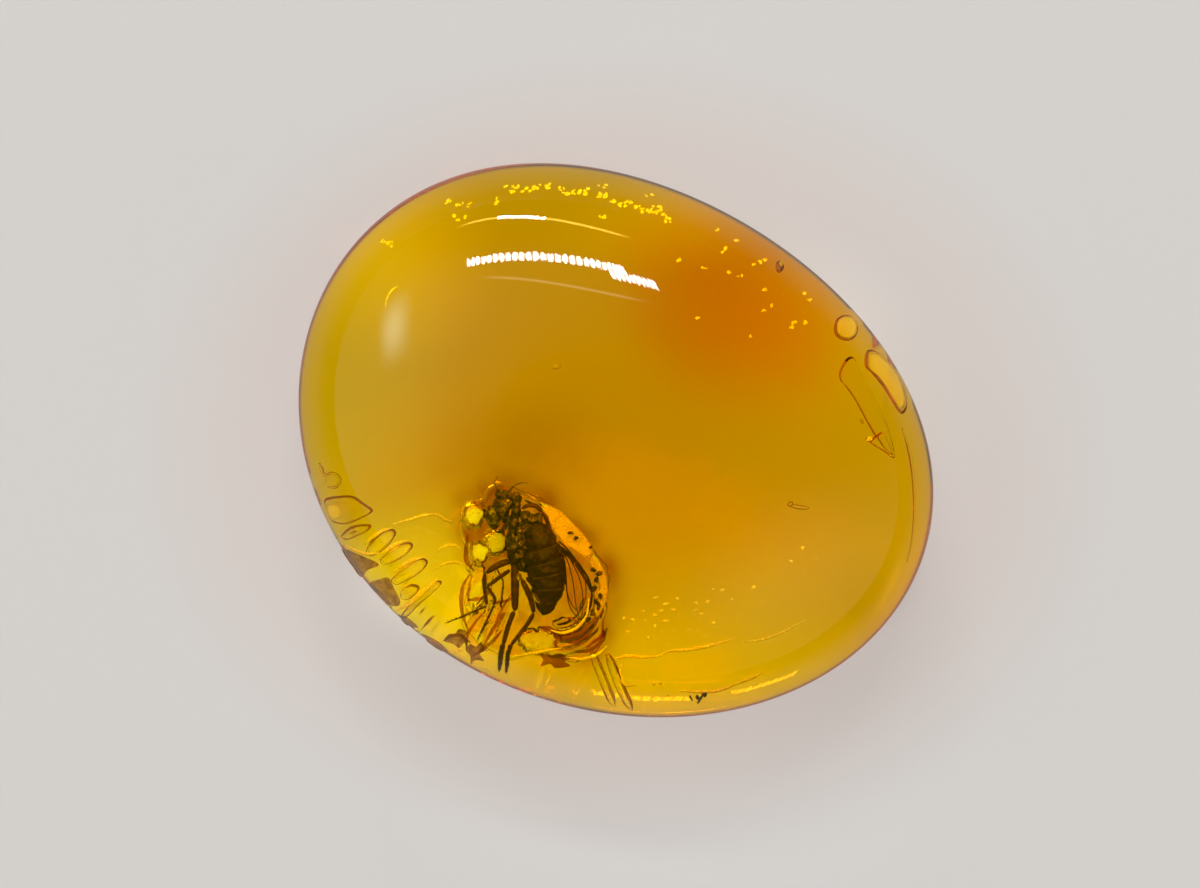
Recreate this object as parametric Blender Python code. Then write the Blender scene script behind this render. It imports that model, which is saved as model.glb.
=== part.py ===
"""A polished amber cabochon: an egg-shaped dome with a rounded girdle and a flat ground back.

The natural resin is one solid. The edge of its flat back keeps old damage: a row of short flutes
on one side, and a few shell-shaped chips on the other. +X runs along the stone towards its
narrower end, +Z up through the dome, and the origin is the middle of the flat back. Units are metres.
"""

from math import atan2, cos, hypot, radians, sin, sqrt

import bmesh
import bpy
from mathutils import Matrix, Vector

MM = 0.001

# The whole stone.
LENGTH = 16.0 * MM
WIDTH = 12.7 * MM
HEIGHT = 5.2 * MM
GIRDLE_HEIGHT = 1.2 * MM  # the widest section, above the flat back
BACK_SHARE_ALONG = 0.83  # the flat back's length as a share of the stone's
BACK_SHARE_ACROSS = 0.78  # and its width as a share of the stone's
OUTLINE_FULLNESS = 0.0065  # how far the outline swells past an ellipse on its diagonals
DOME_FULLNESS = 0.035  # the same for the dome's profile
TAPER = 0.038  # how much the +X end is narrower and the -X end wider
BOW = 0.31 * MM  # how far both ends lean towards +Y

# Facets.
STONE_SUBDIVISIONS = 5
CHIP_AROUND = 20
CHIP_OVER = 12

# Chips in the edge of the back: (name, angle round the stone, share of the girdle's radius, height,
# size outwards, size round the rim, depth, lean of its face outwards from straight down, turn on its
# own face). Lengths are in millimetres and angles in degrees.
CHIPS = (
    ("small_chip", 216.5, 0.772, 0.00, 0.30, 0.30, 0.03, 18, 0),
    ("window_chip", 224.8, 0.750, 0.00, 0.66, 0.78, 0.05, 14, 0),
    ("flute_1", 228.6, 0.745, 0.00, 0.60, 0.17, 0.03, 18, -8),
    ("flute_2", 232.5, 0.712, 0.00, 0.72, 0.27, 0.04, 14, -6),
    ("flute_3", 236.5, 0.697, 0.00, 0.74, 0.26, 0.04, 14, -6),
    ("flute_4", 241.5, 0.697, 0.00, 0.76, 0.24, 0.04, 14, -6),
    ("flute_5", 245.3, 0.722, 0.00, 0.50, 0.27, 0.05, 16, -4),
    ("flute_6", 248.4, 0.715, 0.00, 0.78, 0.20, 0.04, 14, -4),
    ("flute_7", 252.5, 0.720, 0.00, 0.60, 0.24, 0.04, 14, 0),
    ("round_chip", 56.5, 0.732, 0.00, 0.38, 0.42, 0.05, 16, 0),
    ("long_chip", 41.0, 0.760, 0.00, 0.46, 1.75, 0.05, 18, 4),
    ("wide_chip", 38.5, 0.704, 0.00, 0.46, 2.45, 0.05, 8, 8),
    ("end_chip", 19.0, 0.860, 0.00, 0.34, 1.90, 0.07, 30, 0),
)
CHIP_ROUNDNESS = 0.55  # how far a cutter swells outwards, as a share of its half width

AMBER = (0.83, 0.46, 0.03, 1.0)
AMBER_IOR = 1.54
AMBER_ROUGHNESS = 0.04


def clear_scene():
    for old in list(bpy.data.objects):
        bpy.data.objects.remove(old)


def new_collection(name):
    collection = bpy.data.collections.new(name)
    bpy.context.scene.collection.children.link(collection)
    return collection


def amber_material():
    material = bpy.data.materials.new("amber")
    material.use_nodes = True
    shader = material.node_tree.nodes["Principled BSDF"]
    shader.inputs["Base Color"].default_value = AMBER
    shader.inputs["Roughness"].default_value = AMBER_ROUGHNESS
    shader.inputs["Metallic"].default_value = 0.0
    shader.inputs["IOR"].default_value = AMBER_IOR
    shader.inputs["Transmission Weight"].default_value = 1.0
    return material


def fuller(angle, fullness):
    """How far a curve swells past its ellipse: nothing on the axes, most on the diagonals."""
    return 1.0 + fullness * sin(2.0 * angle) ** 2


def outline_point(angle, share):
    """The egg outline at this angle, shrunk to this share of its size."""
    swell = fuller(angle, OUTLINE_FULLNESS)
    along = cos(angle) * share * swell
    across = sin(angle) * share * swell
    y = WIDTH / 2 * across * (1.0 - TAPER * along)
    return LENGTH / 2 * along, y + BOW * along**2


def girdle_drop(angle):
    """Half height of the lower, rounder half, which the flat back cuts short."""
    share = BACK_SHARE_ALONG + (BACK_SHARE_ACROSS - BACK_SHARE_ALONG) * sin(angle) ** 2
    return GIRDLE_HEIGHT / sqrt(1.0 - share**2)


def stone_point(angle, latitude):
    """The stone's surface: latitude 0 is the girdle and 90 degrees is the top of the dome."""
    above = latitude > 0.0
    swell = fuller(latitude, DOME_FULLNESS) if above else 1.0
    reach = HEIGHT - GIRDLE_HEIGHT if above else girdle_drop(angle)
    x, y = outline_point(angle, cos(latitude) * swell)
    return Vector((x, y, GIRDLE_HEIGHT + reach * sin(latitude) * swell))


def flatten_back(mesh):
    """Cuts the lower half off level with z 0 and closes it with one flat face."""
    everything = mesh.verts[:] + mesh.edges[:] + mesh.faces[:]
    cut = bmesh.ops.bisect_plane(
        mesh, geom=everything, plane_co=(0, 0, 0), plane_no=(0, 0, 1), clear_inner=True
    )
    rim = [item for item in cut["geom_cut"] if isinstance(item, bmesh.types.BMEdge)]
    bmesh.ops.edgeloop_fill(mesh, edges=rim)


def make_stone(collection, material):
    """Starts as a unit ball, whose points are moved onto the stone's surface."""
    mesh = bmesh.new()
    bmesh.ops.create_icosphere(mesh, subdivisions=STONE_SUBDIVISIONS, radius=1.0)
    for point in mesh.verts:
        angle = atan2(point.co.y, point.co.x)
        latitude = atan2(point.co.z, hypot(point.co.x, point.co.y))
        point.co = stone_point(angle, latitude)
    flatten_back(mesh)
    bmesh.ops.recalc_face_normals(mesh, faces=mesh.faces[:])
    data = bpy.data.meshes.new("amber")
    mesh.to_mesh(data)
    mesh.free()
    stone = bpy.data.objects.new("amber", data)
    collection.objects.link(stone)
    data.materials.append(material)
    return stone


def chip_frame(angle, share, height, lean, turn):
    """Where a chip's cutter sits: its middle, and a matrix with X outwards, Y round the rim, Z out."""
    girdle = stone_point(radians(angle), 0.0)
    outward = Vector((girdle.x, girdle.y, 0.0)).normalized()
    face = outward * sin(radians(lean)) - Vector((0.0, 0.0, cos(radians(lean))))
    across = face.cross(outward).normalized()
    along = across.cross(face).normalized()
    axes = Matrix((along, across, face)).transposed().to_4x4()
    middle = Vector((girdle.x * share, girdle.y * share, height * MM))
    return middle, face, axes @ Matrix.Rotation(radians(turn), 4, "Z")


def make_cutter(name, collection, angle, share, height, radial, around, depth, lean, turn):
    """A flattened ball that sinks by depth into the stone at this place."""
    middle, face, axes = chip_frame(angle, share, height, lean, turn)
    radial, around, depth = radial * MM, around * MM, depth * MM
    swell = CHIP_ROUNDNESS * min(radial, around) / 2
    reach = sqrt(1.0 - (1.0 - depth / swell) ** 2)
    mesh = bmesh.new()
    bmesh.ops.create_uvsphere(
        mesh, u_segments=CHIP_AROUND, v_segments=CHIP_OVER, radius=1.0
    )
    size = Matrix.Diagonal((radial / 2 / reach, around / 2 / reach, swell, 1.0))
    place = Matrix.Translation(middle + face * (swell - depth))
    bmesh.ops.transform(mesh, matrix=place @ axes @ size, verts=mesh.verts[:])
    bmesh.ops.recalc_face_normals(mesh, faces=mesh.faces[:])
    data = bpy.data.meshes.new(name)
    mesh.to_mesh(data)
    mesh.free()
    cutter = bpy.data.objects.new(name, data)
    cutter.hide_render = True
    cutter.display_type = "WIRE"
    collection.objects.link(cutter)
    return cutter


def chip_back(stone, cutters):
    """The flutes and chips are cut out of the edge of the back."""
    for chip in CHIPS:
        name, *shape = chip
        make_cutter(name, cutters, *shape)
    for cutter in cutters.objects:
        cut = stone.modifiers.new(cutter.name, "BOOLEAN")
        cut.operation = "DIFFERENCE"
        cut.object = cutter


def centre_on_origin(stone):
    """Puts the middle of the stone's box over the origin, with the back left at z 0."""
    corners = [Vector(corner) for corner in stone.bound_box]
    middle = (min(corners, key=sum) + max(corners, key=sum)) / 2
    return Vector((-middle.x, -middle.y, 0.0))


def main():
    clear_scene()
    parts = new_collection("insect_amber")
    cutters = new_collection("cutters")
    stone = make_stone(parts, amber_material())
    chip_back(stone, cutters)
    shift = centre_on_origin(stone)
    for item in (stone, *cutters.objects):
        item.location = shift
    stone.data.shade_smooth()
    stone.data.set_sharp_from_angle(angle=radians(35.0))


main()
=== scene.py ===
"""The looks of a polished amber cabochon with a small fly sealed in it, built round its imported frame."""

from math import radians

import bpy
import numpy as np
from mathutils import Euler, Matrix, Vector, noise


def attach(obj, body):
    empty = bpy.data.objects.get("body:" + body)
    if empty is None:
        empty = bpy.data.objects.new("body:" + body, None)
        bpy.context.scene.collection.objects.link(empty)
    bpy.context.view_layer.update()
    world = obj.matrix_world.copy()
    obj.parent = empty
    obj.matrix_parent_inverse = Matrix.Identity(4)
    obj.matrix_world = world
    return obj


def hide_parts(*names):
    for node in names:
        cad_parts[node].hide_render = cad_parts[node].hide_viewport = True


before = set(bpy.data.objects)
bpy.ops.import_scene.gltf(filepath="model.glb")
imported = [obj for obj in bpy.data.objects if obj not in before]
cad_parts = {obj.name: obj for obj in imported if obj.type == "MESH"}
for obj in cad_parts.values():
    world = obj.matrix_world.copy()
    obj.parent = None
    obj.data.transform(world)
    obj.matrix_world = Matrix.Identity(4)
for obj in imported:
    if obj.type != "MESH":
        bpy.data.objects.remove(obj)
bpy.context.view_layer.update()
MM = 0.001

# ---------------------------------------------------------------------------------------------
# The amber stone.
# One lump of fossil resin, ground to an egg-shaped dome on a flat back and polished. Below its
# widest line the rim keeps a row of flutes on one side and four shell-shaped chips on the other.

STONE_LENGTH = 16.0 * MM
STONE_WIDTH = 12.7 * MM
STONE_HEIGHT = 5.2 * MM
GIRDLE_HEIGHT = 1.2 * MM
BACK_SHARE_ALONG, BACK_SHARE_ACROSS = 0.83, 0.78  # the flat back's size as a share of the girdle's
OUTLINE_FULLNESS = 0.0065  # how far the outline swells past an ellipse on its diagonals
DOME_FULLNESS = 0.035  # the same for the dome's profile
TAPER = 0.038  # how much one end is narrower and the other wider
BOW = 0.31 * MM  # how far both ends lean to one side
RIDGE_ROUNDING = 0.03 * MM  # the worn edge between the flat back and the side

COLUMNS = 384
DOME_ROWS = 62
SIDE_ROWS = 26
RIDGE_ROWS = 24
BACK_ROWS = 4
RIDGE_LATITUDES = (-52, -30)  # where the back's edge is, whichever way it's looked at round the stone
CLOSER_COLUMNS = ((236, 22, 5.0), (42, 18, 3.0))  # by the chips: angle, half width and how much closer

# Each chip: angle round the stone, share of the girdle's radius, height, size outwards, size round
# the rim, depth, how far its face leans outwards from straight down, and its turn on its own face.
CHIPS = (
    (216.5, 0.772, 0.00, 0.30, 0.30, 0.03, 18, 0),
    (224.8, 0.750, 0.00, 0.66, 0.78, 0.05, 14, 0),
    (228.6, 0.745, 0.00, 0.60, 0.17, 0.03, 18, -8),
    (232.5, 0.712, 0.00, 0.72, 0.27, 0.04, 14, -6),
    (236.5, 0.697, 0.00, 0.74, 0.26, 0.04, 14, -6),
    (241.5, 0.697, 0.00, 0.76, 0.24, 0.04, 14, -6),
    (245.3, 0.722, 0.00, 0.50, 0.27, 0.05, 16, -4),
    (248.4, 0.715, 0.00, 0.78, 0.20, 0.04, 14, -4),
    (252.5, 0.720, 0.00, 0.60, 0.24, 0.04, 14, 0),
    (56.5, 0.732, 0.00, 0.38, 0.42, 0.05, 16, 0),
    (41.0, 0.760, 0.00, 0.46, 1.75, 0.05, 18, 4),
    (38.5, 0.704, 0.00, 0.46, 2.45, 0.05, 8, 8),
    (19.0, 0.860, 0.00, 0.34, 1.90, 0.07, 30, 0),
)

CHIP_ROUNDNESS = 0.55  # how far a chip's face bulges, as a share of its half width
POLISH_ENDS = (3, 8)  # degrees below the widest line where it starts to look ground, and over how many
GROUND_FROM = 0.03 * MM  # the side is ground down to this height, and the back is polished

AMBER_IOR = 1.54
AMBER_PASSES = (0.9961, 0.950, 0.10)  # what a thickness of 1 / density lets through, roughly
AMBER_DENSITY = 1800.0


def stone_points(angle, latitude):
    """Points of the stone's surface, for arrays of angles round it and latitudes up it."""
    above = latitude > 0.0
    swell = np.where(above, 1.0 + DOME_FULLNESS * np.sin(2.0 * latitude) ** 2, 1.0)
    share = BACK_SHARE_ALONG + (BACK_SHARE_ACROSS - BACK_SHARE_ALONG) * np.sin(angle) ** 2
    drop = GIRDLE_HEIGHT / np.sqrt(1.0 - share**2)
    reach = np.where(above, STONE_HEIGHT - GIRDLE_HEIGHT, drop)
    outline = np.cos(latitude) * swell * (1.0 + OUTLINE_FULLNESS * np.sin(2.0 * angle) ** 2)
    along, across = np.cos(angle) * outline, np.sin(angle) * outline
    rise = GIRDLE_HEIGHT + reach * np.sin(latitude) * swell
    rise = np.where(above, rise, (rise + np.hypot(rise, RIDGE_ROUNDING)) / 2.0)
    return np.stack(
        [
            STONE_LENGTH / 2 * along,
            STONE_WIDTH / 2 * across * (1.0 - TAPER * along) + BOW * along**2,
            rise,
        ],
        axis=-1,
    )


def uneven(start, end, count, zones):
    """Values from start to end, packed closer in each zone of (middle, half width, how much closer)."""
    fine = np.linspace(start, end, 20000)
    weight = np.ones_like(fine)
    for middle, half, closer in zones:
        weight += closer / (1.0 + ((fine - middle) / half) ** 8)
    travelled = np.concatenate([[0.0], np.cumsum(weight[1:])])
    return np.interp(np.linspace(0.0, travelled[-1], count), travelled, fine)


def carve(places, angle, share, height, radial, around, depth, lean, turn):
    """Points that a lens-shaped chip has taken away are moved back onto the chip's own face."""
    angle, lean, turn = radians(angle), radians(lean), radians(turn)
    girdle = stone_points(np.float64(angle), np.float64(0.0))
    middle = np.array([girdle[0] * share, girdle[1] * share, height * MM])
    outward = np.array([girdle[0], girdle[1], 0.0]) / np.hypot(girdle[0], girdle[1])
    face = outward * np.sin(lean) - np.array([0.0, 0.0, np.cos(lean)])
    across = np.cross(face, outward)
    across /= np.linalg.norm(across)
    along = np.cross(across, face)
    along, across = (
        along * np.cos(turn) + across * np.sin(turn),
        across * np.cos(turn) - along * np.sin(turn),
    )
    radial, around, depth = radial * MM, around * MM, depth * MM
    swell = CHIP_ROUNDNESS * min(radial, around) / 2
    reach = np.sqrt(1.0 - (1.0 - depth / swell) ** 2)
    away = places - (middle + face * (swell - depth))
    s = (away @ along) / (radial / 2 / reach)
    w = (away @ across) / (around / 2 / reach)
    out = (away @ face) / swell
    inside = s**2 + w**2 + out**2 < 1.0
    back = -np.sqrt(np.clip(1.0 - s**2 - w**2, 0.0, None))
    move = np.where(inside, (out - back) * swell, 0.0)
    return places - face * move[..., None], move > 0.0


def ring_faces(rows, around):
    """Faces of a closed body: rings of points from the bottom up, then its lowest and highest points."""
    lowest, highest, last = rows * around, rows * around + 1, (rows - 1) * around
    faces = []
    for r in range(rows - 1):
        for c in range(around):
            n = (c + 1) % around
            faces.append((r * around + c, r * around + n, (r + 1) * around + n, (r + 1) * around + c))
    for c in range(around):
        n = (c + 1) % around
        faces.append((lowest, n, c))
        faces.append((highest, last + c, last + n))
    return faces


def mesh_object(name, points, faces):
    """An object with smooth faces, made from its points and faces."""
    data = bpy.data.meshes.new(name)
    data.from_pydata(points.tolist(), [], faces)
    data.validate()
    data.shade_smooth()
    made = bpy.data.objects.new(name, data)
    bpy.context.scene.collection.objects.link(made)
    return made


OUTLINE_COUNT = 3601
girdle = stone_points(np.linspace(0.0, 2.0 * np.pi, OUTLINE_COUNT), np.zeros(OUTLINE_COUNT))[:, :2]
stone_middle = (girdle.min(axis=0) + girdle.max(axis=0)) / 2


def stone_surface():
    """The whole outside of the stone, with what share of each point is still rough from grinding."""
    closer = [(radians(middle), radians(half), more) for middle, half, more in CLOSER_COLUMNS]
    angles = uneven(0.0, 2.0 * np.pi, COLUMNS + 1, closer)[:-1]
    ridge_low, ridge_high = np.radians(RIDGE_LATITUDES)
    back = np.linspace(radians(-90), ridge_low, BACK_ROWS + 1)[1:]
    ridge = np.linspace(ridge_low, ridge_high, RIDGE_ROWS + 1)[1:]
    side = np.linspace(ridge_high, 0.0, SIDE_ROWS + 1)[1:]
    dome = np.linspace(0.0, radians(90), DOME_ROWS + 1)[1:-1]
    latitudes = np.concatenate([back, ridge, side, dome])
    angle, latitude = np.meshgrid(angles, latitudes)
    places = stone_points(angle, latitude)
    below, over = np.radians(POLISH_ENDS)
    ground = np.clip((-latitude - below) / over, 0.0, 1.0) * (places[..., 2] > GROUND_FROM)
    for chip in CHIPS:
        places, carved = carve(places, *chip)
        ground = np.where(carved, 0.0, ground)
    ends = stone_points(np.array([0.0, 0.0]), np.radians([-90.0, 90.0]))
    points = np.concatenate([places.reshape(-1, 3), ends])
    points[:, 2] -= points[:, 2].min()
    points[:, :2] -= stone_middle
    return (points, ring_faces(*angle.shape)), np.concatenate([ground.ravel(), [0.0, 0.0]])


# What lies in the resin is set out as it shows through the dome, which bends the view of it: each
# place is across and down in the camera's frame, and its true height in millimetres.
PIXELS_PER_M = 41.05 / MM
PICTURE = (1200, 888)
STONE_IN_PICTURE = (612.6, 447.6)
STONE_TILT = radians(26.27)  # the stone's long axis runs down to the right, so the camera is rolled
CAMERA_DISTANCE = 0.16
DOME_SAMPLES = 2000
TOUCH_ROUNDS = 8  # rounds of closing in on where a line of sight meets the dome
SLOPE_STEP = 0.02 * MM

picture_right = np.array([np.cos(STONE_TILT), np.sin(STONE_TILT), 0.0])
picture_up = np.array([-np.sin(STONE_TILT), np.cos(STONE_TILT), 0.0])


def in_picture(right, up, height):
    """A place given by how far right, up and high it is in the picture, in metres."""
    return picture_right * right + picture_up * up + np.array([0.0, 0.0, height])


camera_place = in_picture(
    (PICTURE[0] / 2 - STONE_IN_PICTURE[0]) / PIXELS_PER_M,
    (STONE_IN_PICTURE[1] - PICTURE[1] / 2) / PIXELS_PER_M,
    GIRDLE_HEIGHT + CAMERA_DISTANCE,
)


def dome_height(x, y):
    """Height of the polished dome over places on the sheet."""
    latitude = np.linspace(radians(90), 0.0, DOME_SAMPLES)
    reach = np.cos(latitude) * (1.0 + DOME_FULLNESS * np.sin(2.0 * latitude) ** 2)
    along = (x + stone_middle[0]) / (STONE_LENGTH / 2)
    across = (y + stone_middle[1] - BOW * along**2) / (STONE_WIDTH / 2 * (1.0 - TAPER * along))
    angle = np.arctan2(across, along)
    outline = 1.0 + OUTLINE_FULLNESS * np.sin(2.0 * angle) ** 2
    up = np.interp(np.hypot(along, across) / outline, reach, latitude)
    swell = 1.0 + DOME_FULLNESS * np.sin(2.0 * up) ** 2
    return GIRDLE_HEIGHT + (STONE_HEIGHT - GIRDLE_HEIGHT) * np.sin(up) * swell


def seen_at(places):
    """The true places, in metres, of (across, down, height) as they show through the dome."""
    across, down, height = np.moveaxis(np.asarray(places, dtype=float), -1, 0)
    right = ((across - STONE_IN_PICTURE[0]) / PIXELS_PER_M)[..., None]
    up = ((STONE_IN_PICTURE[1] - down) / PIXELS_PER_M)[..., None]
    touch = picture_right * right + picture_up * up + np.array([0.0, 0.0, GIRDLE_HEIGHT])
    ray = touch - camera_place
    ray /= np.linalg.norm(ray, axis=-1, keepdims=True)
    for _ in range(TOUCH_ROUNDS):
        gap = dome_height(touch[..., 0], touch[..., 1]) - touch[..., 2]
        touch = touch + ray * (gap / ray[..., 2])[..., None]
    x, y, step = touch[..., 0], touch[..., 1], SLOPE_STEP
    slope_x = dome_height(x + step, y) - dome_height(x - step, y)
    slope_y = dome_height(x, y + step) - dome_height(x, y - step)
    normal = np.stack([-slope_x, -slope_y, np.full_like(slope_x, 2 * step)], axis=-1)
    normal /= np.linalg.norm(normal, axis=-1, keepdims=True)
    facing = -np.sum(ray * normal, axis=-1, keepdims=True)
    inside = np.sqrt(1.0 - (1.0 - facing**2) / AMBER_IOR**2)
    bent = ray / AMBER_IOR + normal * (facing / AMBER_IOR - inside)
    travel = (height * MM - touch[..., 2]) / bent[..., 2]
    return touch + bent * travel[..., None]


def smooth_path(rows, count):
    """Count rows along a smooth curve through the given rows."""
    rows = np.asarray(rows, dtype=float)
    lengths = np.linalg.norm(np.diff(rows[:, :2], axis=0), axis=1) + 1e-9
    at = np.concatenate([[0.0], np.cumsum(lengths)])
    slopes = np.gradient(rows, at, axis=0)
    where = np.linspace(0.0, at[-1], count)
    i = np.clip(np.searchsorted(at, where, side="right") - 1, 0, len(at) - 2)
    span = (at[i + 1] - at[i])[:, None]
    s = ((where - at[i]) / (at[i + 1] - at[i]))[:, None]
    return (
        rows[i] * (1 + 2 * s) * (1 - s) ** 2
        + slopes[i] * span * s * (1 - s) ** 2
        + rows[i + 1] * s**2 * (3 - 2 * s)
        + slopes[i + 1] * span * s**2 * (s - 1)
    )


def crumple(points, size, amount, seed):
    """Noise for each point, in metres: lumps of this size and height, the same each run."""
    shift = Vector((seed * 7.13, seed * 3.71, seed * 5.37))
    return np.array([noise.noise(Vector(p) / size + shift) * amount for p in points])


LUMP_FADE = 0.05 * MM  # lumps fade where a body is thinner than this


def loft(rows, around=20, steps=48, lumps=0.0, lump_size=0.1 * MM, seed=1.0):
    """A closed body along (across, down, height, half width, half depth), all but places in mm."""
    path = smooth_path(rows, steps)
    middle = seen_at(path[:, :3])
    along = np.gradient(middle, axis=0)
    along /= np.linalg.norm(along, axis=1, keepdims=True)
    side = np.cross(along, [0.0, 0.0, 1.0])
    side /= np.linalg.norm(side, axis=1, keepdims=True)
    top = np.cross(side, along)
    turn = np.linspace(0.0, 2.0 * np.pi, around, endpoint=False)
    wide, deep = np.abs(path[:, 3]) * MM, np.abs(path[:, 4]) * MM
    out = (
        side[:, None, :] * (wide[:, None] * np.cos(turn))[..., None]
        + top[:, None, :] * (deep[:, None] * np.sin(turn))[..., None]
    )
    points = (middle[:, None, :] + out).reshape(-1, 3)
    if lumps:
        push = crumple(points, lump_size, lumps * MM, seed)[:, None]
        length = np.linalg.norm(out.reshape(-1, 3), axis=1, keepdims=True) + 1e-9
        fade = np.minimum(length / LUMP_FADE, 1.0)
        points = points + out.reshape(-1, 3) / length * push * fade
    points = np.concatenate([points, middle[:1], middle[-1:]])
    return points, [(face[0], *face[:0:-1]) for face in ring_faces(steps, around)]


def join(parts):
    """Several (points, faces) as one."""
    points, faces, start = [], [], 0
    for part_points, part_faces in parts:
        points.append(part_points)
        faces += [tuple(i + start for i in face) for face in part_faces]
        start += len(part_points)
    return np.concatenate(points), faces


def flip(part):
    """The same surface seen from its other side, as the wall of a hollow."""
    points, faces = part
    return points, [tuple(reversed(face)) for face in faces]


def ellipsoid(
    place, right, up, depth, tilt=0.0, lumps=0.0, lump_size=0.1 * MM, seed=1.0, around=28, rows=18, lean=0.0
):
    """A closed lump at (across, down, height): half sizes in mm, a turn, and a lean towards the top."""
    centre = seen_at(place)
    tilt = radians(tilt)
    axis_a = picture_right * np.cos(tilt) + picture_up * np.sin(tilt)
    axis_b = picture_up * np.cos(tilt) - picture_right * np.sin(tilt)
    lean, upright = radians(lean), np.array([0.0, 0.0, 1.0])
    axis_c = upright * np.cos(lean) + axis_b * np.sin(lean)
    axis_b = axis_b * np.cos(lean) - upright * np.sin(lean)
    up_angles = np.linspace(-np.pi / 2, np.pi / 2, rows + 2)[1:-1]
    turn = np.linspace(0.0, 2.0 * np.pi, around, endpoint=False)
    lift, swing = np.meshgrid(up_angles, turn, indexing="ij")
    unit = np.stack([np.cos(lift) * np.cos(swing), np.cos(lift) * np.sin(swing), np.sin(lift)], axis=-1)
    unit = np.concatenate([unit.reshape(-1, 3), [[0, 0, -1.0], [0, 0, 1.0]]])
    size = np.array([right, up, depth]) * MM
    out = unit * size
    if lumps:
        out *= 1.0 + crumple(unit * size, lump_size, lumps, seed)[:, None]
    points = centre + out[:, :1] * axis_a + out[:, 1:2] * axis_b + out[:, 2:] * axis_c
    return points, ring_faces(rows, around)


# The gas film that came off the fly as it decayed: a thin wrinkled hollow round it, deeper in a few
# pockets by its head and pleated where it wraps the tail.
BED_HEIGHT = 2.2  # of the layer that the fly lies on, in mm, where the picture's row is BED_ROW
BED_ROW = 500.0
BED_SLOPE = 0.0057  # how much the layer sinks for each row further down

FILM_SINK = 0.34  # how far the film lies under the bed
FILM_HALF = 0.055
FILM_MIDDLE = (538.0, 574.0)
FILM_EDGE = (
    (489, 486), (497, 482), (508, 484), (520, 490), (532, 494), (544, 500), (558, 511), (568, 524),
    (577, 535), (588, 545), (597, 555), (606, 564), (609, 577), (608, 590), (607, 604), (604, 620),
    (605, 633), (602, 644), (595, 653), (586, 659), (575, 662), (562, 659), (546, 656), (530, 653),
    (516, 658), (505, 660), (495, 652), (482, 646), (470, 636), (462, 622), (464, 606), (468, 592),
    (471, 578), (466, 564), (466, 550), (462, 538), (459, 524), (464, 508), (474, 501), (483, 498),
)
# Each pocket: across, down, half across, half down, how much deeper its half is, in mm.
FILM_POCKETS = (
    (474, 515, 12, 12, 0.20), (497, 542, 11, 13, 0.22), (479, 552, 10.5, 10.5, 0.18),
    (477, 588, 9, 24, 0.12), (538, 500, 14, 4.5, 0.08), (599, 590, 5, 30, 0.06),
    (538, 641, 19, 12, 0.14), (497, 590, 6, 20, 0.08), (566, 624, 13, 6, 0.08), (535, 510, 9, 5, 0.06),
)
FILM_SCALLOPS = (17.0, 0.012)  # small scallops in its edge: how many half waves, and how deep
FILM_WANDER = (9.0, 0.03)  # how the edge wanders: how often, and how far
# Its wrinkles and how it sags, each: size across, seed, and height in mm.
FILM_WRINKLES = ((7.0, 1.0, 0.010), (16.0, 5.0, 0.012))
FILM_SAG = (24.0, 8.0, 0.05)
POCKET_WANDER = ((5.0, 0.30), (14.0, 0.20))  # how a pocket's edge wanders: size across, and how far
POCKET_EDGE = (0.86, 1.06)
FILM_ROLL = 0.06  # the film's rolled edge round the back of the fly, in mm
ROLL_STARTS, ROLL_ENDS = (-2.4, -1.9), (1.3, 1.8)  # the turns between which the edge is rolled
ROLL_SHARE = (0.84, 0.95)  # how far out the roll begins and is full
FILM_CREASE = 0.09  # how deep its creases are, in mm
FILM_CREASE_TURN = 118.0  # the way its creases run, turned from across towards down
CREASE_STRETCH, CREASE_SLANT, CREASE_SIZE, CREASE_SEED = 0.22, 0.10, 15.0, 12.0
CREASE_SHARPNESS = 6.5
DRAPE_ACROSS, DRAPE_DOWN = (525, 505), (562, 578)  # where it drapes between the legs and creases most
DRAPE_LEAST = 0.25
FILM_PLEATS = (556.0, 600.0)  # the middle of the pleats round the tail
PLEAT_DEPTH, PLEAT_WIDTH, PLEAT_FIRST, PLEAT_TWIST = 0.06, 13.0, 30.0, 3.0
PLEAT_STARTS, PLEAT_ENDS, PLEAT_NEAR = (-0.2, 0.25), (1.35, 1.8), (22, 28)
FILM_LEAST = 0.02  # its least half depth, in mm
FILM_TURNS = 220
FILM_RINGS = 72


def bed(down):
    """Height in mm of the layer that the fly lies on."""
    return BED_HEIGHT - (np.asarray(down, dtype=float) - BED_ROW) * BED_SLOPE


def smooth_step(low, high, value):
    """From 0 at low to 1 at high, with an easy start and end."""
    s = np.clip((value - low) / (high - low), 0.0, 1.0)
    return s * s * (3.0 - 2.0 * s)


def ripple(across, down, size, seed):
    """Smooth noise over the frame, from -1 to 1, with lumps of this size."""
    flat = np.stack([across.ravel(), down.ravel()], axis=-1) / size
    values = [noise.noise((x, y, seed)) for x, y in flat]
    return np.array(values).reshape(across.shape)


def film_radius(turns):
    """How far the film's edge is from its middle, for each turn round it."""
    edge = np.array(FILM_EDGE, dtype=float) - FILM_MIDDLE
    way, far = np.arctan2(edge[:, 1], edge[:, 0]), np.hypot(edge[:, 0], edge[:, 1])
    order = np.argsort(way)
    return np.interp(turns, way[order], far[order], period=2.0 * np.pi)


def round_film(reach, turn):
    """Places across and down at this reach and turn from the film's middle, with the middle last."""
    across = np.append(FILM_MIDDLE[0] + reach * np.cos(turn), FILM_MIDDLE[0])
    down = np.append(FILM_MIDDLE[1] + reach * np.sin(turn), FILM_MIDDLE[1])
    return across, down


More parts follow.
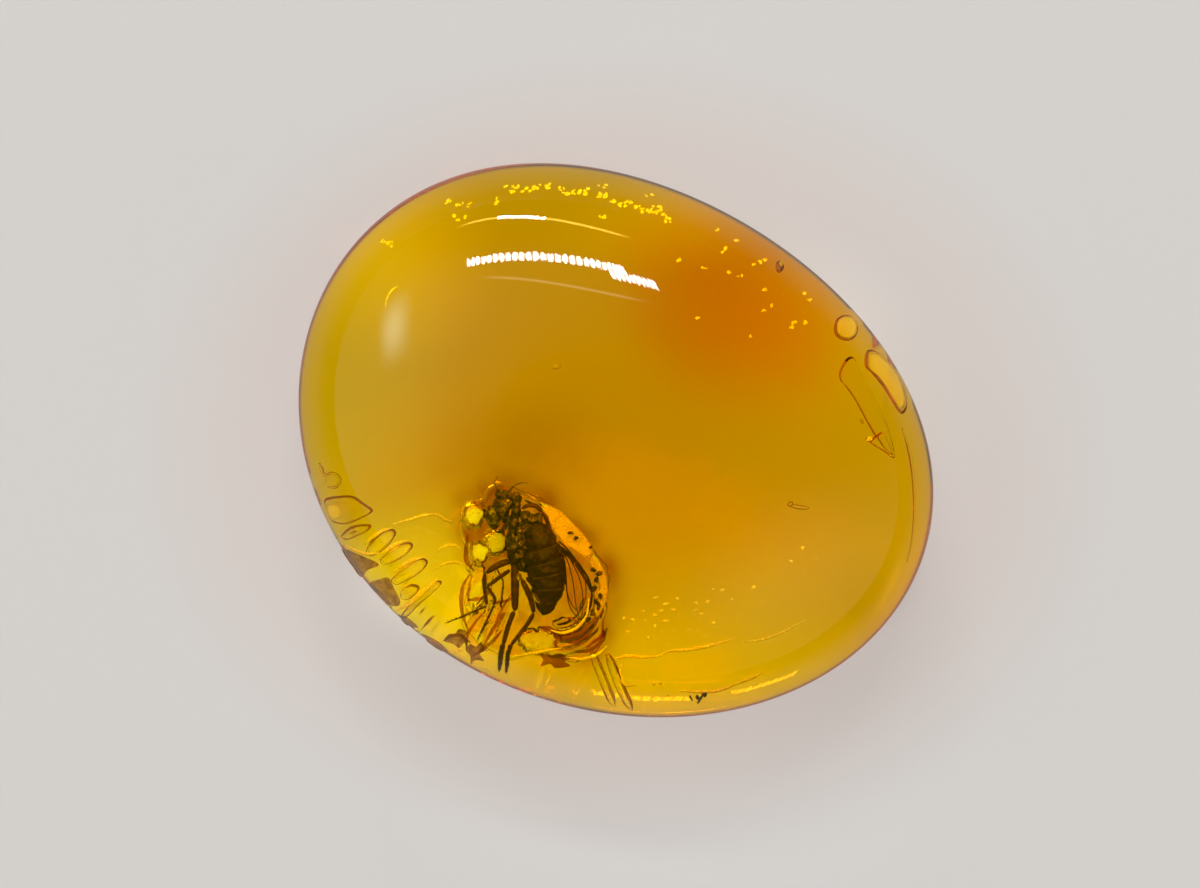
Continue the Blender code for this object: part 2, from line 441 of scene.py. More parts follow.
def film_hollow():
    """The film's gap: how thick it is at each place, and the closed sheet round it."""
    turns = np.linspace(-np.pi, np.pi, FILM_TURNS, endpoint=False)
    count, deep = FILM_SCALLOPS
    often, far = FILM_WANDER
    wander = np.array([noise.noise((np.cos(a) * often, np.sin(a) * often, 3.0)) for a in turns])
    radius = film_radius(turns) * (1.0 + deep * np.abs(np.sin(count * turns)) + far * wander)
    rings = 1.0 - (1.0 - np.linspace(0.0, 1.0, FILM_RINGS + 1)[1:]) ** 1.3
    share, turn = np.meshgrid(rings, turns, indexing="ij")
    across, down = round_film(share * radius, turn)
    share, turn = np.append(share, 0.0), np.append(turn, 0.0)
    half = FILM_HALF
    for size, seed, height in FILM_WRINKLES:
        half = half + height * ripple(across, down, size, seed)
    (fine, fine_far), (broad, broad_far) = POCKET_WANDER
    for x, y, wide, tall, deeper in FILM_POCKETS:
        away = np.hypot((across - x) / wide, (down - y) / tall)
        away = away + fine_far * ripple(across, down, fine, x) + broad_far * ripple(across, down, broad, y)
        half = half + deeper * (1.0 - smooth_step(*POCKET_EDGE, away))
    rolled = smooth_step(*ROLL_STARTS, turn) * (1.0 - smooth_step(*ROLL_ENDS, turn))
    half = half + FILM_ROLL * rolled * smooth_step(*ROLL_SHARE, share)
    slant = np.array([np.cos(radians(FILM_CREASE_TURN)), np.sin(radians(FILM_CREASE_TURN))])
    run, cut = across * slant[0] + down * slant[1], down * slant[0] - across * slant[1]
    run = run * CREASE_STRETCH + CREASE_SLANT * cut
    crease = 1.0 - np.abs(ripple(run, cut, CREASE_SIZE, CREASE_SEED)) * CREASE_SHARPNESS
    drape = smooth_step(*DRAPE_ACROSS, across) * smooth_step(*DRAPE_DOWN, down)
    drape = DRAPE_LEAST + (1.0 - DRAPE_LEAST) * drape
    half = half + FILM_CREASE * np.clip(crease, 0.0, 1.0) * drape
    near = np.hypot(across - FILM_PLEATS[0], down - FILM_PLEATS[1])
    angle = np.arctan2(down - FILM_PLEATS[1], across - FILM_PLEATS[0])
    pleated = smooth_step(*PLEAT_STARTS, angle) * (1.0 - smooth_step(*PLEAT_ENDS, angle))
    pleated = pleated * smooth_step(*PLEAT_NEAR, near)
    pleats = np.cos(2.0 * np.pi * (near - PLEAT_FIRST + PLEAT_TWIST * angle) / PLEAT_WIDTH)
    half = half + PLEAT_DEPTH * pleated * (1.0 + pleats)
    half = np.clip(half, FILM_LEAST, None) * np.sqrt(1.0 - share**10)
    size, seed, height = FILM_SAG
    middle = bed(down) - FILM_SINK + height * ripple(across, down, size, seed)
    return two_sided(across, down, middle, half, FILM_RINGS, FILM_TURNS)


# Each gas-filled tube: (across, down, height, half width, half depth), all but places in mm.
TUBES = (
    # two strands that lead from the film out to the rim
    ((592, 652, 1.50, 0.05, 0.05), (596, 662, 1.40, 0.10, 0.09), (601, 674, 1.25, 0.105, 0.09),
     (607, 689, 1.10, 0.10, 0.09), (613, 703, 1.00, 0.07, 0.06), (615, 707, 0.98, 0.01, 0.01)),
    ((607, 654, 1.45, 0.05, 0.05), (611, 663, 1.36, 0.10, 0.09), (616, 677, 1.20, 0.105, 0.09),
     (623, 693, 1.06, 0.10, 0.09), (630, 707, 0.98, 0.07, 0.06), (632, 711, 0.96, 0.01, 0.01)),
    # a short curled tube over the flutes
    ((319, 463, 1.2, 0.02, 0.02), (321, 468, 1.2, 0.05, 0.03), (325, 475, 1.2, 0.03, 0.02),
     (332, 473, 1.2, 0.03, 0.02), (340, 479, 1.2, 0.03, 0.02), (336, 487, 1.2, 0.03, 0.02),
     (327, 487, 1.2, 0.01, 0.01)),
    # the long crack down the narrow end
    ((902, 428, 1.2, 0.015, 0.01), (908, 446, 1.2, 0.04, 0.03), (912, 466, 1.2, 0.045, 0.03),
     (914, 490, 1.2, 0.035, 0.03), (914, 520, 1.2, 0.03, 0.02), (911, 545, 1.2, 0.02, 0.02),
     (907, 562, 1.2, 0.01, 0.01)),
)

# Each bubble: across, down, height, and its three half sizes and turn, in mm and degrees.
BUBBLES = (
    (519.5, 577, 2.42, 0.060, 0.095, 0.05, 10), (536, 598, 2.15, 0.045, 0.14, 0.04, 35),
    (521, 543, 2.55, 0.05, 0.05, 0.04, 0), (518, 537, 2.58, 0.035, 0.09, 0.03, -20),
    (508, 503, 2.62, 0.06, 0.08, 0.05, -25), (780, 266, 1.20, 0.10, 0.15, 0.10, -20),
    (799, 507, 1.8, 0.22, 0.05, 0.05, -8), (790, 504, 1.8, 0.07, 0.05, 0.05, 40),
    (557, 367, 3.2, 0.10, 0.045, 0.03, 20), (869, 439, 1.2, 0.07, 0.06, 0.04, 0),
    (862, 421, 1.2, 0.03, 0.06, 0.03, 20),
)

# Flat lens-shaped hollows behind the flutes and chips: height, half depth, and the edge that shows.
LENSES = (
    (1.05, 0.050, ((325, 499), (338, 496), (353, 496), (364, 503), (373, 511), (360, 519), (346, 524),
                   (333, 522), (326, 511))),
    (1.05, 0.060, ((341, 536), (350, 527), (362, 524), (371, 525), (368, 531), (358, 536), (347, 540))),
    (1.05, 0.050, ((366, 550), (372, 541), (384, 531), (393, 529), (396, 534), (389, 545), (378, 554),
                   (369, 556))),
    (1.05, 0.050, ((380, 561), (386, 553), (398, 545), (409, 542), (413, 546), (406, 555), (394, 562),
                   (384, 565))),
    (1.05, 0.050, ((391, 581), (396, 574), (410, 563), (422, 558), (428, 562), (422, 571), (409, 580),
                   (397, 585))),
    (1.05, 0.050, ((400, 596), (402, 588), (411, 584), (419, 586), (418, 592), (410, 599), (403, 600))),
    (1.05, 0.040, ((401, 616), (410, 604), (424, 592), (437, 581), (442, 583), (434, 592), (420, 604),
                   (407, 617))),
    (1.05, 0.050, ((834, 331), (836, 320), (844, 315), (853, 317), (858, 326), (856, 336), (848, 341),
                   (838, 338))),
    (1.05, 0.050, ((865, 366), (866, 352), (873, 350), (884, 357), (897, 372), (905, 390), (907, 407),
                   (901, 414), (892, 402), (882, 386), (872, 374))),
    (0.80, 0.030, ((839, 372), (845, 360), (853, 357), (862, 372), (874, 395), (886, 420), (894, 448),
                   (893, 457), (884, 450), (870, 428), (856, 402), (845, 386), (840, 380))),
    (1.05, 0.050, ((882, 432), (888, 440), (895, 455), (892, 458), (884, 452), (874, 446), (870, 441))),
)
LENS_TURNS = 72
LENS_RINGS = 8


def round_outline(edge, count):
    """Count places along the smooth closed line through the given ones."""
    edge = np.asarray(edge, dtype=float)
    at = np.linspace(0.0, len(edge), count, endpoint=False)
    i = at.astype(int)
    s = (at - i)[:, None]
    a, b, c, d = (edge[(i + k) % len(edge)] for k in (-1, 0, 1, 2))
    return b + 0.5 * s * (c - a + s * (2 * a - 5 * b + 4 * c - d + s * (3 * b - a - 3 * c + d)))


def two_sided(across, down, height, half, rings, count):
    """A closed sheet over rings of places, from the middle out, with the middle itself last."""
    upper = seen_at(np.stack([across, down, height + half], axis=-1))
    lower = seen_at(np.stack([across, down, height - half], axis=-1))
    below, middle, rim = len(upper), rings * count, (rings - 1) * count

    def under(i):
        return i if rim <= i < middle else i + below

    faces = []
    for c in range(count):
        n = (c + 1) % count
        faces.append((middle, n, c))
        faces.append((under(middle), under(c), under(n)))
        for r in range(rings - 1):
            a, b = r * count + c, r * count + n
            e, d = a + count, b + count
            faces.append((a, b, d, e))
            faces.append((under(a), under(e), under(d), under(b)))
    return np.concatenate([upper, lower]), faces


def lens(height, half, edge, size=1.0, rings=LENS_RINGS, turns=LENS_TURNS):
    """A flat lens whose edge, made larger or smaller by size, shows as drawn."""
    edge = round_outline(edge, turns)
    middle = edge.mean(axis=0)
    share = np.linspace(0.0, 1.0, rings + 1)[1:, None, None] ** 0.7
    spots = np.concatenate([(middle + size * share * (edge - middle)).reshape(-1, 2), [middle]])
    share = np.append(np.repeat(share.ravel(), turns), 0.0)
    return two_sided(spots[:, 0], spots[:, 1], height, half * np.sqrt(1.0 - share**4), rings, turns)


hollows = [flip(film_hollow())]
for tube in TUBES:
    hollows.append(flip(loft(tube, around=16, steps=48, lumps=0.006)))
for across, down, height, wide, tall, deep, turn in BUBBLES:
    bubble = ellipsoid((across, down, height), wide, tall, deep, turn, lumps=0.2, around=20, rows=12)
    hollows.append(flip(bubble))
for lens_shape in LENSES:
    hollows.append(flip(lens(*lens_shape)))


def wire(tree, kind, *sources, out=0, **settings):
    """A node of this kind with its settings, fed in order by sources: sockets, numbers or vectors."""
    node = tree.nodes.new(kind)
    for name, value in settings.items():
        setattr(node, name, value)
    for socket, source in zip(node.inputs, sources):
        if isinstance(source, bpy.types.NodeSocket):
            tree.links.new(source, socket)
        elif source is not None:
            socket.default_value = source
    return node.outputs[out]


def sums(tree, operation, *values):
    """One step of arithmetic on sockets and numbers."""
    return wire(tree, "ShaderNodeMath", *values, operation=operation)


def faded(tree, socket, low, high, at_low=0.0, at_high=1.0):
    """A smooth change from one share to another, where the socket goes from low to high."""
    shares = (low, high, at_low, at_high)
    return wire(tree, "ShaderNodeMapRange", socket, *shares, interpolation_type="SMOOTHSTEP")


def blend_colours(tree, share, first, second):
    """A colour between two, by a socket that runs from 0 to 1."""
    mix = tree.nodes.new("ShaderNodeMix")
    mix.data_type = "RGBA"
    slots = {"A": mix.inputs[6], "B": mix.inputs[7]}
    for socket, colour in (("A", first), ("B", second)):
        if isinstance(colour, bpy.types.NodeSocket):
            tree.links.new(colour, slots[socket])
        else:
            slots[socket].default_value = (*colour, 1.0)
    tree.links.new(share, mix.inputs[0])
    return mix.outputs[2]


def new_material(name):
    """A material with its shader and its tree, ready for nodes."""
    material = bpy.data.materials.new(name)
    material.use_nodes = True
    tree = material.node_tree
    return material, tree, tree.nodes["Principled BSDF"]


GROUND_ROUGHNESS = 0.20
AMBER_SHEEN = 0.2
CLOUD_GRAIN = (420.0, 3.0)  # what breaks up a cloud's edge: how fine, and in how much detail
CLOUD_BLUR = 0.35

HONEY_TINT = (0.99, 0.79, 0.60)
GROUND_TINT = (0.88, 0.74, 0.05)
# Tints in the resin: redder under the far shoulder and paler on the left, as the resin's own colour,
# and paler again towards the flutes and the near rim, where the pale tint is painted light for the
# light that the dome gathers there. Each has its middle (right, up) in mm, its half sizes and turn,
# its tint, and the shares of its size where it fades.
AMBER_CLOUDS_AND_LIGHT = (
    ((-5.6, 1.2), (2.6, 5.4), -8, (1.0, 0.92, 0.80), 0.30, 1.15),
    ((2.6, -4.2), (7.0, 2.9), 8, (1.0, 0.93, 0.66), 0.35, 1.20),
    ((-3.9, -3.0), (3.6, 2.5), -20, (1.0, 1.0, 0.86), 0.62, 1.25),
    ((2.7, 3.2), (3.6, 2.9), -30, (1.0, 0.42, 0.20), 0.30, 1.35),
)
ZONE_DEPTH = 9.0 * MM


def amber_finish():
    """See-through resin with tinted clouds in it, the pale ones painted light, rough where it's ground and
    clear at the hollows' walls.
    """
    material, tree, shader = new_material("polished_amber")
    place = wire(tree, "ShaderNodeTexCoord", out="Object")
    blur = wire(tree, "ShaderNodeTexNoise", place, None, *CLOUD_GRAIN)
    body = None
    # The redder tint and the pale one on the left are the resin's own colour; the pale ones by the flutes
    # and the near rim are painted light.
    for (right, up), (wide, tall), turn, tint, inner, outer in AMBER_CLOUDS_AND_LIGHT:
        middle = tuple(in_picture(right * MM, up * MM, STONE_HEIGHT / 2))
        swing = (0.0, 0.0, STONE_TILT + radians(turn))
        size = (wide * MM, tall * MM, ZONE_DEPTH)
        away = wire(tree, "ShaderNodeMapping", place, middle, swing, size, vector_type="TEXTURE")
        away = wire(tree, "ShaderNodeVectorMath", away, out="Value", operation="LENGTH")
        away = sums(tree, "MULTIPLY_ADD", blur, CLOUD_BLUR, away)
        share = wire(
            tree, "ShaderNodeMapRange", away, inner, outer, 1.0, 0.0, interpolation_type="SMOOTHERSTEP"
        )
        body = blend_colours(tree, share, body or HONEY_TINT, tint)
    ground_share = wire(tree, "ShaderNodeAttribute", out="Fac", attribute_name="ground")
    rough = sums(tree, "MULTIPLY", ground_share, GROUND_ROUGHNESS)
    tree.links.new(rough, shader.inputs["Roughness"])
    body = blend_colours(tree, ground_share, body, GROUND_TINT)
    hollow_share = wire(tree, "ShaderNodeAttribute", out="Fac", attribute_name="hollow")
    body = blend_colours(tree, hollow_share, body, (1.0, 1.0, 1.0))
    tree.links.new(body, shader.inputs["Base Color"])
    shader.inputs["IOR"].default_value = AMBER_IOR
    shader.inputs["Specular IOR Level"].default_value = AMBER_SHEEN
    shader.inputs["Transmission Weight"].default_value = 1.0
    volume = tree.nodes.new("ShaderNodeVolumeAbsorption")
    volume.inputs["Color"].default_value = (*AMBER_PASSES, 1.0)
    volume.inputs["Density"].default_value = AMBER_DENSITY
    tree.links.new(volume.outputs[0], tree.nodes["Material Output"].inputs["Volume"])
    return material


def mark(piece, **shares):
    """Gives each point of a piece its share of something, for the piece's material to read."""
    for share_name, values in shares.items():
        layer = piece.data.attributes.new(share_name, "FLOAT", "POINT")
        layer.data.foreach_set("value", values)


outside, ground = stone_surface()
stone = mesh_object("amber_stone", *join([outside, *hollows]))
in_hollows = len(stone.data.vertices) - len(ground)
hollow = np.repeat([0.0, 1.0], [len(ground), in_hollows])
mark(stone, ground=np.pad(ground, (0, in_hollows)), hollow=hollow)
stone.data.materials.append(amber_finish())
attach(stone, "root")
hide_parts("amber")

# ---------------------------------------------------------------------------------------------
# The fly's cuticle.
# Its body is dark brown chitin, shrunk and wrinkled as it dried, and polished where it was smooth.
# It lies on its side with its head towards the middle of the stone and its legs towards the rim.


def on_bed(rows):
    """(across, down, lift, ...) as (across, down, height, ...), lifted off the fly's bed."""
    rows = np.array(rows, dtype=float)
    rows[:, 2] += bed(rows[:, 1])
    return rows


WRINKLE_BUMP = 0.7
WRINKLE_DEPTH = 0.3  # as a share of the lumps' size


def cuticle(name, dark, pale, pale_share, lump, sheen, roughness):
    """Chitin in two tones, with fine wrinkles."""
    material, tree, shader = new_material(name)
    place = wire(tree, "ShaderNodeTexCoord", out="Object")
    broad = wire(tree, "ShaderNodeTexNoise", place, None, 1.0 / lump, 5.0, 0.62)
    starts, ends = 0.62 - pale_share, 0.72 - pale_share * 0.6
    patches = faded(tree, broad, starts, ends)
    tree.links.new(blend_colours(tree, patches, dark, pale), shader.inputs["Base Color"])
    fine = wire(tree, "ShaderNodeTexNoise", place, None, 4.0 / lump, 4.0, 0.6)
    rough = wire(tree, "ShaderNodeMapRange", fine, 0.3, 0.7, roughness - 0.12, roughness + 0.15)
    tree.links.new(rough, shader.inputs["Roughness"])
    bump = tree.nodes.new("ShaderNodeBump")
    bump.inputs["Strength"].default_value = WRINKLE_BUMP
    bump.inputs["Distance"].default_value = lump * WRINKLE_DEPTH
    tree.links.new(fine, bump.inputs["Height"])
    tree.links.new(bump.outputs[0], shader.inputs["Normal"])
    shader.inputs["Specular IOR Level"].default_value = sheen
    return material


def sealed_piece(name, parts, material):
    """One piece made of closed parts, which rides with the stone that it's sealed in."""
    piece = mesh_object(name, *join(parts))
    piece.data.materials.append(material)
    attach(piece, "root")
    return piece


# Each finish: its dark and pale tones, the share that is pale, the size of its lumps, its sheen and
# its roughness.
dark_cuticle = cuticle(
    "dark_cuticle", (0.012, 0.005, 0.004), (0.13, 0.080, 0.055), 0.14, 0.11 * MM, 0.35, 0.34
)
red_cuticle = cuticle(
    "red_brown_cuticle", (0.013, 0.0045, 0.006), (0.042, 0.014, 0.014), 0.16, 0.09 * MM, 0.25, 0.42
)
eye_cuticle = cuticle("eye_lenses", (0.010, 0.006, 0.004), (0.20, 0.16, 0.11), 0.14, 0.12 * MM, 0.6, 0.28)

# ---------------------------------------------------------------------------------------------
# Abdomen.
# Seven overlapping rings of chitin in a blunt egg shape, with a short tail.

# (across, down, lift, half width, half depth) along it: lift is over the fly's bed, sizes in mm.
ABDOMEN = (
    (533, 521, 0.05, 0.05, 0.05), (535, 527, 0.05, 0.22, 0.20), (538, 536, 0.05, 0.35, 0.30),
    (541, 549, 0.05, 0.43, 0.36), (545, 564, 0.05, 0.455, 0.38), (547, 579, 0.05, 0.43, 0.36),
    (547, 592, 0.05, 0.36, 0.31), (546, 603, 0.05, 0.24, 0.23), (544, 611, 0.05, 0.13, 0.14),
    (543, 615, 0.03, 0.02, 0.02),
)
ABDOMEN_RINGS = 7
RING_STEP = 0.10  # how far each ring steps in under the one before it, as a share of its size


def ringed(rows, steps=90):
    """The same body with each ring stepping in under the one before it."""
    path = smooth_path(rows, steps)
    share = np.linspace(0.0, ABDOMEN_RINGS, steps) % 1.0
    path[:, 3:5] *= 1.0 - RING_STEP * share[:, None] ** 3
    return path


rings = loft(ringed(on_bed(ABDOMEN)), around=56, steps=140, lumps=0.05, lump_size=0.17 * MM, seed=2.0)
abdomen = sealed_piece("abdomen", [rings], red_cuticle)

# ---------------------------------------------------------------------------------------------
# Thorax.
# The crumpled box that carries the legs and the wings: three segments, pressed together.

# Each lump: (across, down, lift), its three half sizes in mm, and its turn in degrees.
THORAX_LUMPS = (
    ((525, 516, 0.10), 0.13, 0.10, 0.14, 10), ((531, 519, 0.08), 0.10, 0.12, 0.12, -10),
    ((537, 520, 0.05), 0.13, 0.13, 0.13, 20), ((526, 526, 0.06), 0.20, 0.13, 0.16, 0),
    ((519, 552, 0.10), 0.15, 0.20, 0.18, 0), ((524, 562, 0.04), 0.15, 0.22, 0.16, -12),
    ((519, 531, 0.08), 0.14, 0.22, 0.16, 0), ((521, 543, 0.12), 0.16, 0.20, 0.16, 0),
)
THORAX_EDGE = (
    (515, 497, 0.12, 0.05, 0.05), (516, 504, 0.12, 0.09, 0.13), (515, 516, 0.12, 0.11, 0.16),
    (513, 530, 0.10, 0.12, 0.17), (512, 545, 0.10, 0.12, 0.17), (514, 560, 0.05, 0.11, 0.13),
    (516, 570, 0.05, 0.03, 0.03),
)


def crumpled_lumps(lumps, amount, size, seed, around, rows):
    """A closed lump for each row, crumpled by this share of its size."""
    made = []
    for i, (place, wide, tall, deep, turn) in enumerate(lumps):
        spot = on_bed([place])[0]
        made.append(
            ellipsoid(
                spot, wide, tall, deep, turn, lumps=amount, lump_size=size, seed=seed + i,
                around=around, rows=rows,
            )
        )
    return made


thorax_parts = [loft(on_bed(THORAX_EDGE), around=28, steps=70, lumps=0.05, lump_size=0.12 * MM, seed=4.0)]
thorax_parts += crumpled_lumps(THORAX_LUMPS, 0.45, 0.11 * MM, 5.0, 48, 32)
thorax = sealed_piece("thorax", thorax_parts, dark_cuticle)

# ---------------------------------------------------------------------------------------------
# Head.
# A round head with two large compound eyes, short many-jointed antennae and a folded proboscis.

HEAD_LUMPS = (
    ((502, 507, 0.12), 0.21, 0.26, 0.22, 0), ((516, 499, 0.10), 0.12, 0.15, 0.14, 0),
    ((503, 495, 0.10), 0.19, 0.12, 0.14, -12), ((508, 520, 0.05), 0.12, 0.13, 0.12, 20),
)
head_parts = crumpled_lumps(HEAD_LUMPS, 0.30, 0.10 * MM, 20.0, 44, 30)

ANTENNAE = (
    ((501, 494, 0.15), (497, 489, 0.2), (495, 482, 0.24), (498, 476, 0.28)),
    ((508, 493, 0.1), (513, 487, 0.12), (521, 483, 0.14), (528, 483, 0.15)),
)
ANTENNA_JOINTS = 9
ANTENNA_WAIST, ANTENNA_SWELL = 0.010, 0.012  # half thickness at a joint, and what is added between
ANTENNA_TIP = 0.55  # its thickness at the tip as a share of that at the root
for feeler in ANTENNAE:
    path = smooth_path(on_bed(feeler), ANTENNA_JOINTS * 8 + 1)
    beat = np.abs(np.sin(np.linspace(0.0, np.pi * ANTENNA_JOINTS, len(path))))
    thick = (ANTENNA_WAIST + ANTENNA_SWELL * beat) * np.linspace(1.0, ANTENNA_TIP, len(path))
    head_parts.append(loft(np.column_stack([path, thick, thick]), around=10, steps=len(path)))

PROBOSCIS = (
    (506, 524, 0.02, 0.05, 0.05), (504, 529, 0.02, 0.045, 0.045), (499, 532, -0.02, 0.035, 0.03),
    (495, 531, -0.04, 0.01, 0.01),
)
head_parts.append(loft(on_bed(PROBOSCIS), around=14, steps=30, lumps=0.01))
head = sealed_piece("head", head_parts, dark_cuticle)

EYES = (((493, 517, 0.14), 0.16, 0.28, 0.20, 12), ((506, 498, 0.0), 0.12, 0.16, 0.14, -30))
EYE_LENS = 0.022 * MM
EYE_LENS_BULGE = 0.0035 * MM
EYE_LENS_ROWS = 2.2  # how closely their rows lie


def faceted_eye(place, wide, tall, deep, turn):
    """An eye set with hundreds of tiny lenses in staggered rows."""
    points, faces = ellipsoid(on_bed([place])[0], wide, tall, deep, turn, around=110, rows=64)
    centre = points.mean(axis=0)
    out = (points - centre) / np.linalg.norm(points - centre, axis=1, keepdims=True)
    flat = (points - centre) / EYE_LENS
    bulge = np.cos(EYE_LENS_ROWS * flat).prod(axis=1)
    return points + out * bulge[:, None] * EYE_LENS_BULGE, faces


eyes = sealed_piece("compound_eyes", [faceted_eye(*eye) for eye in EYES], eye_cuticle)

# ---------------------------------------------------------------------------------------------
# Legs.
# Six jointed legs: a thick femur, a thin bristled tibia and a tarsus of five short joints with claws.

# Each leg's parts: (across, down, lift, half thickness) along the leg, from the body out.
LEGS = (
    # fore leg, bent at the knee and out to the rim
    (((512, 561, 0.00, 0.06), (503, 563, 0.02, 0.075), (495, 567, 0.04, 0.070), (486, 573, 0.05, 0.050)),
     ((485, 573, 0.05, 0.050), (484, 580, 0.02, 0.045), (485, 592, 0.00, 0.042),
      (487, 605, -0.02, 0.035)),
     ((487, 606, -0.02, 0.022), (475, 611, -0.05, 0.022), (461, 617, -0.08, 0.020),
      (446, 623, -0.10, 0.012))),
    # middle leg, crossing behind the fore leg's knee
    (((510, 570, -0.12, 0.05), (500, 577, -0.14, 0.045), (492, 583, -0.12, 0.040),
      (487, 586, -0.10, 0.038)),
     ((487, 586, -0.10, 0.036), (491, 592, -0.10, 0.036), (495, 600, -0.10, 0.034),
      (494, 605, -0.10, 0.032)),
     ((494, 605, -0.10, 0.026), (489, 616, -0.10, 0.024), (482, 630, -0.10, 0.022),
      (477, 641, -0.10, 0.012))),
    # hind leg, thick, straight down to the rim
    (((514, 562, 0.05, 0.08), (515, 575, 0.05, 0.095), (515, 592, 0.04, 0.090), (515, 611, 0.02, 0.070)),
     ((514, 611, 0.02, 0.060), (510, 621, 0.00, 0.056), (506, 634, 0.00, 0.052), (503, 645, 0.00, 0.050)),
     ((503, 644, 0.00, 0.060), (501, 654, -0.06, 0.060), (500, 663, -0.14, 0.055),
      (499, 671, -0.22, 0.030))),
    # the other hind leg, crossing to lie beside it
    (((521, 578, 0.10, 0.05), (526, 588, 0.10, 0.062), (531, 600, 0.08, 0.060), (534, 613, 0.05, 0.050)),
     ((534, 613, 0.05, 0.050), (528, 623, 0.04, 0.048), (519, 635, 0.04, 0.046), (511, 645, 0.04, 0.044)),
     ((511, 644, 0.04, 0.050), (508, 654, -0.03, 0.050), (507, 664, -0.12, 0.046),
      (506, 673, -0.20, 0.025))),
    # fore leg of the far side, folded along the shoulder
    (((521, 509, 0.05, 0.035), (530, 505, 0.05, 0.045), (537, 507, 0.05, 0.050), (542, 512, 0.04, 0.045)),
     ((542, 512, 0.04, 0.045), (546, 518, 0.03, 0.048), (549, 528, 0.02, 0.044), (552, 540, 0.00, 0.036)),
     ((552, 540, 0.00, 0.028), (557, 545, -0.02, 0.024), (562, 549, -0.04, 0.022),
      (566, 552, -0.05, 0.012))),
    # middle leg of the far side, along the wing's outer edge
    (((560, 549, -0.10, 0.035), (566, 553, -0.08, 0.042), (571, 558, -0.06, 0.040),
      (575, 563, -0.05, 0.035)),
     ((575, 563, -0.05, 0.035), (583, 575, -0.04, 0.034), (589, 585, -0.04, 0.032),
      (592, 592, -0.04, 0.030)),
     ((592, 592, -0.04, 0.022), (591, 602, -0.04, 0.020), (588, 612, -0.04, 0.018),
      (583, 619, -0.04, 0.012))),
)
LEG_STEPS = 60
JOINT_PINCH = 0.35  # how far a joint narrows at its ends
FOOT_JOINTS = 5
BRISTLE_GAP = 4
BRISTLE_TURNS = (0.4, 2.5, 4.4)  # the turns round the leg where they stand
BRISTLE_LENGTH = 0.075 * MM
BRISTLE_HALF = 0.006 * MM
CLAW_LENGTH = 0.06 * MM


def bristle(root, tip):
    """A thin stiff hair: a three-sided spike."""
    way = tip - root
    side = np.cross(way, [0.3, 0.5, 0.8])
    side = side / np.linalg.norm(side) * BRISTLE_HALF
    other = np.cross(way, side)
    other = other / np.linalg.norm(other) * BRISTLE_HALF
    points = np.array([root + side, root - side / 2 + other, root - side / 2 - other, tip])
    return points, [(0, 2, 1), (0, 1, 3), (1, 2, 3), (2, 0, 3)]


def leg(parts, seed):
    """Femur, tibia and tarsus, each its own closed body, with bristles that lean towards the foot."""
    made = []
    for rows, joints in zip(parts, (1, 1, FOOT_JOINTS)):
        path = smooth_path(on_bed(rows), LEG_STEPS)
        share = np.linspace(0.0, joints, LEG_STEPS, endpoint=False) % 1.0
        waist = 1.0 - JOINT_PINCH * np.abs(2.0 * share - 1.0) ** 6
        from_end = np.minimum(np.arange(LEG_STEPS), np.arange(LEG_STEPS)[::-1])
        thick = path[:, 3] * waist * np.minimum(from_end / 3.0 + 0.25, 1.0)
        rows = np.column_stack([path[:, :3], thick, thick])
        made.append(loft(rows, around=16, steps=LEG_STEPS, lumps=0.008, lump_size=0.07 * MM, seed=seed))
    for rows in parts:
        path = smooth_path(on_bed(rows), 40)
        middle = seen_at(path[:, :3])
        for i in range(4, 38, BRISTLE_GAP):
            along = middle[i + 1] - middle[i - 1]
            along /= np.linalg.norm(along)
            side = np.cross(along, [0.0, 0.0, 1.0])
            side /= np.linalg.norm(side)
            for turn in BRISTLE_TURNS:
                swing = turn + noise.noise((i * 1.7, seed * 3.1, turn)) * 1.5
                out = side * np.cos(swing) + np.cross(side, along) * np.sin(swing)
                root = middle[i] + out * path[i, 3] * 0.6 * MM
                made.append(bristle(root, root + (out * 0.8 + along * 0.9) * BRISTLE_LENGTH))
    foot = seen_at(smooth_path(on_bed(parts[-1]), 12)[-3:, :3])
    forward = foot[-1] - foot[0]
    forward /= np.linalg.norm(forward)
    side = np.cross(forward, [0.0, 0.0, 1.0])
    for turn in (-0.6, 0.6):
        made.append(bristle(foot[-1], foot[-1] + (forward + side * turn) * CLAW_LENGTH))
    return made


leg_cuticle = cuticle("leg_cuticle", (0.045, 0.009, 0.008), (0.11, 0.030, 0.018), 0.10, 0.12 * MM, 0.3, 0.38)
leg_names = ("fore_leg", "middle_leg", "hind_leg", "far_hind_leg", "far_fore_leg", "far_middle_leg")
legs = []
for number, (leg_name, parts) in enumerate(zip(leg_names, LEGS)):
    legs.append(sealed_piece(leg_name, leg(parts, 30.0 + number), leg_cuticle))

# ---------------------------------------------------------------------------------------------
# Wings.
# Two clear brown membranes folded back over the abdomen's far side, stiffened by darker veins.


def clear_film(name, pale, dark, grain, spread=0.25, clearness=1.0):
    """A see-through film sealed in the resin, so light passes it straight and takes its colour."""
    material, tree, shader = new_material(name)
    place = wire(tree, "ShaderNodeTexCoord", out="Object")
    streak = wire(tree, "ShaderNodeTexNoise", place, None, 1.0 / grain, 4.0, 0.6)
    share = wire(tree, "ShaderNodeMapRange", streak, 0.5 - spread, 0.5 + spread, 0.0, 1.0)
    tree.links.new(blend_colours(tree, share, pale, dark), shader.inputs["Base Color"])
    shader.inputs["Transmission Weight"].default_value = clearness
    shader.inputs["IOR"].default_value = 1.02
    shader.inputs["Roughness"].default_value = 0.05
    return material


